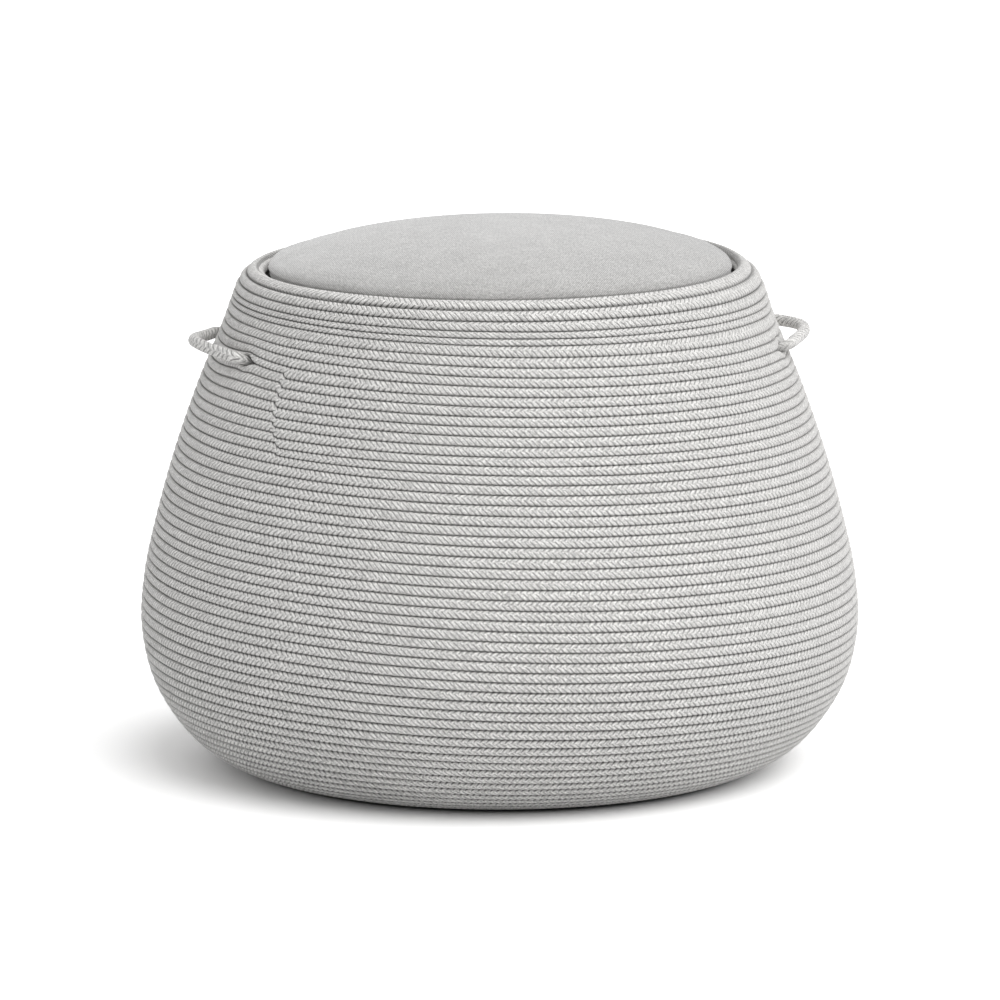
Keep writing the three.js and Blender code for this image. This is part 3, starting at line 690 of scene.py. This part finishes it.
def handle_piece(name, side, finish):
    points, at = evenly_spaced(spline(handle_line(side), SPLINE_SAMPLES), HANDLE_STATION)
    ups, across = frames_along(points)
    from_end = np.minimum(at, at[-1] - at)
    wide, high, tip = handle_size(from_end)
    angle = TURN * np.arange(ROUND_SIDES + 1) / ROUND_SIDES
    loose = smooth((from_end - HANDLE_LOOSE_FROM) / HANDLE_FADE)
    pitch = HANDLE_END_PITCH + (HANDLE_STRAND_PITCH - HANDLE_END_PITCH) * loose
    along = np.cumsum(np.gradient(at) / pitch)
    around = angle[None, :] / (math.pi / 2) + HANDLE_ROLL + np.zeros((len(at), 1))
    calm = HANDLE_CALM[side] * smooth((HANDLE_CALM_TO - from_end) / HANDLE_FADE)
    raised = (tip * (1 - HANDLE_CALM_RELIEF * calm))[:, None]
    relief = STRAND_RELIEF * braid_height(along[:, None], around[:, :-1]) * raised
    a = (wide[:, None] + relief) * np.cos(angle[:-1])[None, :]
    b = (high[:, None] + relief) * np.sin(angle[:-1])[None, :]
    vertices = points[:, None, :] + across[:, None, :] * a[..., None] + ups[:, None, :] * b[..., None]
    vertices = vertices.reshape(-1, 3)
    if side == "left":
        vertices = turn_left(vertices)
    attributes = {"painted_groove_shade": np.zeros(len(vertices)), "calm": np.repeat(calm, ROUND_SIDES)}
    faces = tube_faces(len(points), ROUND_SIDES)
    piece = named_mesh(name, vertices, faces, tube_uv(along, around), attributes)
    piece.data.materials.append(finish)
    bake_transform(piece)
    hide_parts(f"handle_{side}", f"handle_tail_{side}_front", f"handle_tail_{side}_rear")


# Cushion


def cushion_outline(inset):
    """Half outline of the cushion from the middle of its top to the middle of its bottom."""
    shoulder_radius = CUSHION_RADIUS - CUSHION_SHOULDER_REACH
    points = []
    for share in np.linspace(0, 1, 30):
        height = CUSHION_HIGH - inset - CUSHION_CROWN * share ** CROWN_POWER
        points.append((share * (shoulder_radius - inset), height))
    for angle in np.linspace(0, math.pi / 2, 10)[1:]:
        radius = shoulder_radius - inset + CUSHION_SHOULDER_REACH * math.sin(angle)
        points.append((radius, CUSHION_SEAM + (CUSHION_SHOULDER - inset) * math.cos(angle)))
    for share in np.linspace(0, 1, 10)[1:]:
        draw = CUSHION_DRAW * math.sin(math.pi * share)
        height = CUSHION_SEAM + (CUSHION_LOW + inset + BOTTOM_ROUND - CUSHION_SEAM) * share
        points.append((CUSHION_RADIUS - inset - draw, height))
    for share in np.linspace(1, 0, 20)[1:]:
        points.append((share * (CUSHION_RADIUS - inset - BOTTOM_ROUND), CUSHION_LOW + inset))
    return points


def turned(outline, sides):
    """A closed mesh from a half outline that starts and ends on the axis."""
    mesh = bmesh.new()
    top = mesh.verts.new((0, 0, outline[0][1]))
    bottom = mesh.verts.new((0, 0, outline[-1][1]))
    rings = []
    for radius, height in outline[1:-1]:
        rings.append([
            mesh.verts.new((radius * math.cos(TURN * i / sides), radius * math.sin(TURN * i / sides), height))
            for i in range(sides)
        ])
    for i in range(sides):
        after = (i + 1) % sides
        mesh.faces.new((top, rings[0][i], rings[0][after]))
        mesh.faces.new((bottom, rings[-1][after], rings[-1][i]))
        for upper, lower in zip(rings, rings[1:]):
            mesh.faces.new((upper[i], lower[i], lower[after], upper[after]))
    return mesh


def cut_cushion():
    """The cushion's cover, cut slightly small so that it can swell."""
    mesh = turned(cushion_outline(SIMULATION_INSET), CUSHION_SIDES)
    data = bpy.data.meshes.new("cushion_cover")
    mesh.to_mesh(data)
    mesh.free()
    piece = bpy.data.objects.new("cushion_cover", data)
    collection.objects.link(piece)
    return piece


def read_points(data):
    points = np.zeros(len(data.vertices) * 3, np.float32)
    data.vertices.foreach_get("co", points)
    return points.reshape(-1, 3).astype(float)


def write_points(piece, points):
    piece.data.vertices.foreach_set("co", points.astype(np.float32).ravel())
    piece.data.update()


def swell(piece):
    """Fills the cover from inside and keeps each point's move within its cap."""
    rest = read_points(piece.data)
    cloth = piece.modifiers.new("swelling", "CLOTH")
    cloth.settings.quality = 5
    cloth.settings.mass = 0.3
    cloth.settings.use_pressure = True
    cloth.settings.uniform_pressure_force = SIMULATION_PRESSURE
    cloth.settings.effector_weights.gravity = 0
    cloth.settings.tension_stiffness = 20
    cloth.settings.compression_stiffness = 20
    cloth.settings.shear_stiffness = 8
    cloth.settings.bending_stiffness = 0.6
    cloth.collision_settings.use_collision = False
    cloth.point_cache.frame_start = 1
    cloth.point_cache.frame_end = SIMULATION_STEPS
    for step in range(1, SIMULATION_STEPS + 1):
        bpy.context.scene.frame_set(step)
    graph = bpy.context.evaluated_depsgraph_get()
    points = read_points(piece.evaluated_get(graph).data)
    piece.modifiers.remove(cloth)
    bpy.context.scene.frame_set(1)
    move = points - rest
    size = np.linalg.norm(move, axis=1)[:, None]
    write_points(piece, rest + move * np.minimum(1, SIMULATION_CAP / np.maximum(size, 1e-9)))
    print("cushion swelled by up to", round(float(size.max()) / MM, 1), "mm")


def fill_side(points):
    """Lets out the side of the swollen cover to the outline it was cut to."""
    radius = np.hypot(points[:, 0], points[:, 1])
    levels = np.linspace(points[:, 2].min(), points[:, 2].max(), SIDE_LEVELS + 1)
    middles = (levels[:-1] + levels[1:]) / 2
    band = np.clip(np.searchsorted(levels, points[:, 2]) - 1, 0, SIDE_LEVELS - 1)
    swollen = np.array([radius[band == i].max() for i in range(SIDE_LEVELS)])
    outline = np.array(cushion_outline(0))
    cut = np.array([np.interp(level, outline[::-1, 1], outline[::-1, 0]) for level in middles])
    let_out = np.interp(points[:, 2], middles, np.maximum(cut - swollen, 0))
    near_side = smooth((radius / np.interp(points[:, 2], middles, swollen) - SIDE_FROM) / (1 - SIDE_FROM))
    points[:, :2] *= (1 + let_out * near_side / np.maximum(radius, MM))[:, None]


def seat_zip(points):
    """Brings the rear of the side out to the back of the zip."""
    radius = np.hypot(points[:, 0], points[:, 1])
    off = np.abs(np.arctan2(points[:, 1], points[:, 0]) - math.pi / 2)
    low, high = ZIP_HEIGHTS
    share = smooth((ZIP_SPAN - off) / ZIP_SPAN_FADE)
    share = share * smooth((radius / CUSHION_RADIUS - ZIP_SHARE_FROM) / ZIP_SHARE_SPAN)
    share = share * smooth((points[:, 2] - low) / ZIP_FADE + 1) * smooth((high - points[:, 2]) / ZIP_FADE + 1)
    points[:, :2] *= (1 + share * np.maximum(ZIP_SEAT - radius, 0) / np.maximum(radius, MM))[:, None]


def fit_cushion(piece):
    """Keeps the swollen cover inside its recess and flat where it rests, and sews its seams."""
    points = read_points(piece.data)
    fill_side(points)
    radius = np.hypot(points[:, 0], points[:, 1])
    shoulder = np.clip(radius / (CUSHION_RADIUS - CUSHION_SHOULDER_REACH), 0, 1.04)
    ceiling = CUSHION_HIGH - TOP_SPARE - CUSHION_CROWN * shoulder ** CROWN_POWER
    points[:, 2] = np.minimum(points[:, 2], ceiling)
    points[:, 2] = np.maximum(points[:, 2], CUSHION_LOW + SEAT_SPARE)
    widest = CUSHION_RADIUS + SIDE_EXCESS
    kept = np.minimum(radius, widest) / np.maximum(radius, 1e-6)
    points[:, :2] *= kept[:, None]
    near_side = smooth((radius - 0.9 * CUSHION_RADIUS) / (0.08 * CUSHION_RADIUS))
    sewn = bell(points[:, 2] - CUSHION_SEAM, SEAM_WIDTH)
    sewn = sewn + bell(points[:, 2] - CUSHION_LOW - LOWER_SEAM, SEAM_WIDTH)
    points[:, :2] *= (1 - near_side * sewn * SEAM_DEPTH / CUSHION_RADIUS)[:, None]
    seat_zip(points)
    to_right = points[:, 0] * math.cos(CAMERA_AZIMUTH) + points[:, 1] * math.sin(CAMERA_AZIMUTH)
    points[:, 2] += CUSHION_TILT * to_right * smooth((points[:, 2] - CUSHION_LOW) / CUSHION_THICKNESS)
    write_points(piece, points)


def add_cushion(finish):
    piece = cut_cushion()
    swell(piece)
    smoothing = piece.modifiers.new("smooth", "SMOOTH")
    smoothing.iterations = SMOOTHING
    subdivision = piece.modifiers.new("divide", "SUBSURF")
    subdivision.levels = subdivision.render_levels = 1
    bpy.context.view_layer.objects.active = piece
    for modifier in (smoothing, subdivision):
        bpy.ops.object.modifier_apply(modifier=modifier.name)
    fit_cushion(piece)
    piece.data.shade_smooth()
    piece.data.materials.clear()
    piece.data.materials.append(finish)
    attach(piece, "cushion")
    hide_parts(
        "cushion_top_panel", "cushion_side_band", "cushion_bottom_panel", "cushion_foam",
    )


# Materials


class Finish:
    """One material and short ways to add its nodes."""

    def __init__(self, name, **constants):
        self.material = bpy.data.materials.new(name)
        self.material.use_nodes = True
        self.nodes = self.material.node_tree.nodes
        self.links = self.material.node_tree.links
        self.shader = self.nodes["Principled BSDF"]
        for key, value in constants.items():
            self.shader.inputs[key.replace("_", " ")].default_value = value

    def put(self, socket, value):
        if isinstance(value, bpy.types.NodeSocket):
            self.links.new(value, socket)
        else:
            socket.default_value = value

    def math(self, operation, *values):
        node = self.nodes.new("ShaderNodeMath")
        node.operation = operation
        for socket, value in zip(node.inputs, values):
            self.put(socket, value)
        return node.outputs[0]

    def plus(self, first, second):
        return self.math("ADD", first, second)

    def minus(self, first, second):
        return self.math("SUBTRACT", first, second)

    def times(self, first, second):
        return self.math("MULTIPLY", first, second)

    def scaled(self, value, share, offset):
        return self.math("MULTIPLY_ADD", value, share, offset)

    def off_axis(self, x, y):
        """Distance from the upright axis."""
        return self.math("SQRT", self.plus(self.math("POWER", x, 2.0), self.math("POWER", y, 2.0)))

    def ranged(self, value, low, high, to_low=0.0, to_high=1.0):
        node = self.nodes.new("ShaderNodeMapRange")
        node.interpolation_type = "SMOOTHSTEP"
        for socket, given in zip(node.inputs, (value, low, high, to_low, to_high)):
            self.put(socket, given)
        return node.outputs[0]

    def mix(self, share, first, second):
        node = self.nodes.new("ShaderNodeMix")
        node.data_type = "RGBA"
        self.put(node.inputs["Factor"], share)
        self.put(node.inputs[6], first)
        self.put(node.inputs[7], second)
        return node.outputs[2]

    def place(self):
        return self.nodes.new("ShaderNodeTexCoord").outputs["Object"]

    def split(self, vector):
        node = self.nodes.new("ShaderNodeSeparateXYZ")
        self.put(node.inputs[0], vector)
        return node.outputs

    def join(self, x, y, z):
        node = self.nodes.new("ShaderNodeCombineXYZ")
        for socket, value in zip(node.inputs, (x, y, z)):
            self.put(socket, value)
        return node.outputs[0]

    def noise(self, vector, scale, detail=2.0, roughness=0.5):
        node = self.nodes.new("ShaderNodeTexNoise")
        self.put(node.inputs["Vector"], vector)
        node.inputs["Scale"].default_value = scale
        node.inputs["Detail"].default_value = detail
        node.inputs["Roughness"].default_value = roughness
        return node.outputs[0]

    def attribute(self, name):
        node = self.nodes.new("ShaderNodeAttribute")
        node.attribute_name = name
        return node.outputs["Fac"]

    def colour(self, value):
        self.put(self.shader.inputs["Base Color"], value)

    def rough(self, value):
        self.put(self.shader.inputs["Roughness"], value)

    def bump(self, height, distance, strength=1.0):
        node = self.nodes.new("ShaderNodeBump")
        node.inputs["Strength"].default_value = strength
        node.inputs["Distance"].default_value = distance
        self.put(node.inputs["Height"], height)
        self.put(self.shader.inputs["Normal"], node.outputs[0])


def grey(value, warmth=0.0):
    return (value * (1 + warmth), value, value * (1 - 1.6 * warmth), 1)


def braid_nodes(made, along, around):
    """The same braid as braid_height: each strand's side, its number, its crown and its height."""
    wave = made.times(made.math("SINE", made.times(along, TURN)), SIDE_WAVE)
    side = made.math("FLOOR", made.minus(around, wave))
    place = made.minus(made.minus(around, side), 0.5)
    odd = made.math("FLOORED_MODULO", side, 2.0)
    slant = made.times(made.times(made.scaled(odd, -2.0, 1.0), place), STRAND_SKEW)
    strand = made.scaled(odd, 0.5, made.minus(along, slant))
    across = made.times(made.math("ABSOLUTE", made.minus(made.math("FRACT", strand), 0.5)), 2.0)
    flat = made.math("POWER", across, STRAND_FLATNESS)
    crown = made.math("SQRT", made.math("MAXIMUM", made.minus(1.0, flat), 0.0))
    end = made.math("MINIMUM", made.times(made.math("ABSOLUTE", place), 2.0), 1.0)
    end = made.math("POWER", end, STRAND_END_POWER)
    return side, strand, crown, made.times(crown, made.scaled(end, -STRAND_END_FALL, 1.0))


def braided(name, light, dark, valley_shade_colour, groove_shade_colour, calm_shade=0.0):
    """Heather braid: padded strands with yarns in them, mixed light and mid grey, with painted shade between
    strands and in the grooves between rows.
    """
    made = Finish(name, Sheen_Weight=0.25, Sheen_Roughness=0.6, Specular_IOR_Level=0.2)
    node = made.nodes.new("ShaderNodeUVMap")
    node.uv_map = "rope"
    along, around, _ = made.split(node.outputs[0])
    side, strand, crown, strand_height = braid_nodes(made, along, around)
    yarns = made.math("SINE", made.times(strand, TURN * 3))
    yarn_place = made.join(made.times(strand, 5.5), made.times(around, 2.6), made.times(side, 3.7))
    heather = made.noise(yarn_place, 1.0, 2.0, 0.75)
    fibres = made.noise(made.place(), 1150, 2.0, 0.7)
    mottle = made.noise(made.place(), 60, 2.0, 0.5)
    tone = made.ranged(made.plus(made.times(heather, 0.55), made.times(fibres, 0.45)), 0.41, 0.59)
    tone = made.plus(made.times(tone, 0.9), made.times(mottle, 0.1))
    # Painted light where calm is high: the mix of greys is flattened, and darkened by calm_shade
    calm = made.attribute("calm")
    towards = made.times(made.scaled(tone, -CALM_CONTRAST, CALM_TONE - calm_shade), calm)
    base = made.mix(made.plus(tone, towards), dark, light)
    # Painted shade between strands, weaker where calm is high
    valley_unshaded = made.math("MAXIMUM", made.ranged(crown, 0.25, 0.92), calm)
    base = made.mix(valley_unshaded, valley_shade_colour, base)
    # Painted shade in the grooves between rows and at the handles' entries, half as strong on strand crowns
    groove_shade_weight = made.scaled(made.ranged(crown, 0.6, 0.97), -0.5, 1.0)
    made.colour(made.mix(made.times(made.attribute("painted_groove_shade"), groove_shade_weight), base, groove_shade_colour))
    made.rough(made.scaled(fibres, 0.15, 0.8))
    height = made.plus(made.plus(strand_height, made.times(yarns, 0.07)), made.times(fibres, 0.22))
    made.bump(height, 0.5 * MM, 0.8)
    return made.material


def woven(name, light, dark):
    """Plain cushion cloth: two families of fine slanted ribs that cross in the middle, and small slubs.

    Its darkening towards the edge is painted shade.
    """
    made = Finish(name, Sheen_Weight=0.9, Sheen_Roughness=0.5, Specular_IOR_Level=0.2)
    place = made.place()
    x, y, z = made.split(place)
    cos, sin = math.cos(CAMERA_AZIMUTH), math.sin(CAMERA_AZIMUTH)
    right = made.plus(made.times(x, cos), made.times(y, sin))
    away = made.minus(made.times(y, cos), made.times(x, sin))
    away = made.plus(away, made.times(z, 5.0))
    drift = made.times(made.noise(place, 30, 2.0, 0.5), 3.0)

    def ribs(slant):
        slanted = made.scaled(away, slant, right)
        even = made.math("SINE", made.scaled(slanted, TURN / RIB_SPACING, drift))
        along = made.times(away, 1 / STREAK_LENGTH)
        streak = made.noise(made.join(made.times(slanted, 2.6 / RIB_SPACING), along, slant), 1.0, 1.0, 0.5)
        return made.plus(made.times(even, 0.5), made.times(made.scaled(streak, 5.0, -2.5), 0.5))

    to_right = made.ranged(right, -40 * MM, 40 * MM)
    falling, rising = ribs(RIB_SLANT), ribs(-RIB_SLANT)
    weave = made.plus(falling, made.times(to_right, made.minus(rising, falling)))
    weave = made.scaled(weave, 0.5, 0.5)
    slubs = made.noise(place, 750, 2.0, 0.6)
    mottle = made.noise(place, 45, 3.0, 0.6)
    off = made.off_axis(x, y)
    crisp = made.ranged(off, 110 * MM, 185 * MM, 0.4, 0.65)
    tone = made.scaled(made.minus(weave, 0.5), crisp, 0.225)
    tone = made.plus(made.plus(tone, made.times(slubs, 0.4)), made.times(mottle, 0.15))
    # Painted shade: the cloth darkens towards its edge
    edge_shade = made.ranged(off, 60 * MM, 190 * MM, 0.03, 0.2)
    made.colour(made.mix(edge_shade, made.mix(made.ranged(tone, 0.33, 0.67), dark, light), dark))
    made.rough(made.scaled(slubs, 0.1, 0.84))
    made.bump(made.plus(weave, made.times(slubs, 0.6)), 0.3 * MM, 0.8)
    return made.material


def powder_coated(name, light, dark):
    """Fine-grained coat on metal, rubbed slightly brighter in places."""
    made = Finish(name, Metallic=0.0, Coat_Weight=0.15, Coat_Roughness=0.4)
    grain = made.noise(made.place(), 1400, 3.0, 0.6)
    rub = made.noise(made.place(), 30, 3.0, 0.6)
    made.colour(made.mix(made.ranged(rub, 0.35, 0.7), dark, light))
    made.rough(made.scaled(grain, 0.25, 0.38))
    made.bump(grain, 0.12 * MM, 0.5)
    return made.material


def moulded(name, light, dark, grain_scale, roughness):
    """Plain moulded or pressed sheet with a fine grain and faint scuffs."""
    made = Finish(name)
    grain = made.noise(made.place(), grain_scale, 3.0, 0.6)
    stretched = [made.times(axis, share) for axis, share in zip(made.split(made.place()), (1.0, 9.0, 1.0))]
    scuffs = made.noise(made.join(*stretched), 26, 4.0, 0.7)
    made.colour(made.mix(made.ranged(scuffs, 0.4, 0.75), dark, light))
    made.rough(made.scaled(grain, 0.2, roughness))
    made.bump(grain, 0.1 * MM, 0.6)
    return made.material


def brushed(name):
    """Bright steel with fine lines round its axis."""
    made = Finish(name, Metallic=1.0)
    x, y, z = made.split(made.place())
    lines = made.noise(made.join(x, y, made.times(z, 30.0)), 900, 3.0, 0.6)
    made.colour(made.mix(lines, grey(0.42), grey(0.62)))
    made.rough(made.scaled(lines, 0.25, 0.2))
    made.bump(lines, 0.05 * MM, 0.4)
    return made.material


def dress_frame():
    """The frame's own nodes keep their shapes and get finished materials."""
    coat = powder_coated("coated_metal", grey(0.62, 0.01), grey(0.5, 0.01))
    panel = moulded("pressed_panel", grey(0.36), grey(0.3), 900, 0.6)
    glide = moulded("glide_plastic", grey(0.05), grey(0.035), 1300, 0.5)
    rubber = moulded("pad_rubber", grey(0.06), grey(0.045), 1700, 0.75)
    zip_tape = moulded("zip_tape", grey(0.26, 0.01), grey(0.2, 0.01), 1500, 0.7)
    steel = brushed("screw_steel")
    by_start = [
        ("frame_rib", coat), ("rim_bar", coat), ("belly_ring", coat), ("seat_ring", coat),
        ("base_ring", coat),
        ("base_panel", panel), ("seat_deck", panel), ("glide_screw", steel), ("deck_screw", steel),
        ("glide", glide), ("deck_pad", rubber), ("cushion_pad", rubber), ("cushion_zip", zip_tape),
    ]
    for name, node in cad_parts.items():
        for start, finish in by_start:
            if name.startswith(start):
                for slot in node.material_slots:
                    slot.material = finish
                break


# Floor, light and camera


def direction(azimuth, elevation):
    """Unit vector from the stool, for an azimuth from the front."""
    flat = math.cos(elevation)
    return Vector((math.sin(azimuth) * flat, -math.cos(azimuth) * flat, math.sin(elevation)))


def add_floor():
    """Pale floor. The darker disc under the stool is painted, as its contact shadow."""
    mesh = bmesh.new()
    bmesh.ops.create_grid(mesh, x_segments=8, y_segments=8, size=40)
    data = bpy.data.meshes.new("floor")
    mesh.to_mesh(data)
    mesh.free()
    floor = bpy.data.objects.new("floor", data)
    floor.location.z = -0.1 * MM
    collection.objects.link(floor)
    made = Finish("floor_paint")
    shade = made.noise(made.place(), 3, 2.0, 0.5)
    path = made.nodes.new("ShaderNodeLightPath").outputs
    mirrored = made.math("MAXIMUM", path["Is Glossy Ray"], path["Is Transmission Ray"])
    seen = made.math("MAXIMUM", path["Is Camera Ray"], mirrored)
    plain = made.mix(shade, grey(0.8), grey(0.82))
    x, y, _ = made.split(made.place())
    # Painted contact shadow: a darker disc under the stool on the floor as the camera sees it
    clear = made.mix(made.ranged(made.off_axis(x, y), *FLOOR_CONTACT), grey(0.12), grey(FLOOR_SEEN))
    paper = made.nodes.new("ShaderNodeBsdfDiffuse")
    made.put(paper.inputs["Color"], made.mix(seen, plain, clear))
    made.links.new(paper.outputs[0], made.nodes["Material Output"].inputs["Surface"])
    made.nodes.remove(made.shader)
    data.materials.append(made.material)


def add_light():
    world = bpy.data.worlds.new("studio")
    bpy.context.scene.world = world
    world.use_nodes = True
    nodes, links = world.node_tree.nodes, world.node_tree.links
    background = nodes["Background"]
    path = nodes.new("ShaderNodeLightPath").outputs
    first = nodes.new("ShaderNodeMath")
    first.operation = "MAXIMUM"
    links.new(path["Is Camera Ray"], first.inputs[0])
    links.new(path["Is Glossy Ray"], first.inputs[1])
    second = nodes.new("ShaderNodeMath")
    second.operation = "MAXIMUM"
    links.new(first.outputs[0], second.inputs[0])
    links.new(path["Is Transmission Ray"], second.inputs[1])
    strength = nodes.new("ShaderNodeMapRange")
    links.new(second.outputs[0], strength.inputs["Value"])
    strength.inputs["To Min"].default_value = WORLD_LIGHT
    strength.inputs["To Max"].default_value = 1.0
    links.new(strength.outputs[0], background.inputs["Strength"])
    background.inputs["Color"].default_value = (1, 1, 1, 1)
    sun = bpy.data.lights.new("key", "SUN")
    sun.energy = SUN_LIGHT
    sun.angle = SUN_SPREAD
    lamp = bpy.data.objects.new("key", sun)
    collection.objects.link(lamp)
    back = direction(CAMERA_AZIMUTH + SUN_AZIMUTH, SUN_ELEVATION)
    lamp.rotation_euler = back.to_track_quat("Z", "Y").to_euler()
    lamp.location = back * 4


def add_camera():
    data = bpy.data.cameras.new("camera")
    data.lens = CAMERA_LENS
    data.sensor_width = 36
    data.clip_end = 200
    camera = bpy.data.objects.new("camera", data)
    collection.objects.link(camera)
    back = direction(CAMERA_AZIMUTH, CAMERA_ELEVATION)
    camera.location = CAMERA_TARGET + back * CAMERA_DISTANCE
    camera.rotation_euler = back.to_track_quat("Z", "Y").to_euler()
    bpy.context.scene.camera = camera


add_camera()
yarn_light, yarn_dark, groove_shade_colour = grey(0.97, 0.014), grey(0.42, 0.014), grey(0.06, 0.02)
rope_finish = braided("wall_rope", yarn_light, yarn_dark, grey(0.13, 0.02), groove_shade_colour, WALL_CALM_SHADE)
handle_finish = braided("handle_rope", yarn_light, yarn_dark, grey(0.1, 0.02), groove_shade_colour)
add_wall_rope(rope_finish)
add_inner_row(rope_finish)
handle_piece("handle_rope_right", "right", handle_finish)
handle_piece("handle_rope_left", "left", handle_finish)
add_cushion(woven("cushion_cloth", grey(0.7, 0.012), grey(0.28, 0.012)))
dress_frame()
add_floor()
add_light()
bpy.context.scene.view_settings.view_transform = "Standard"
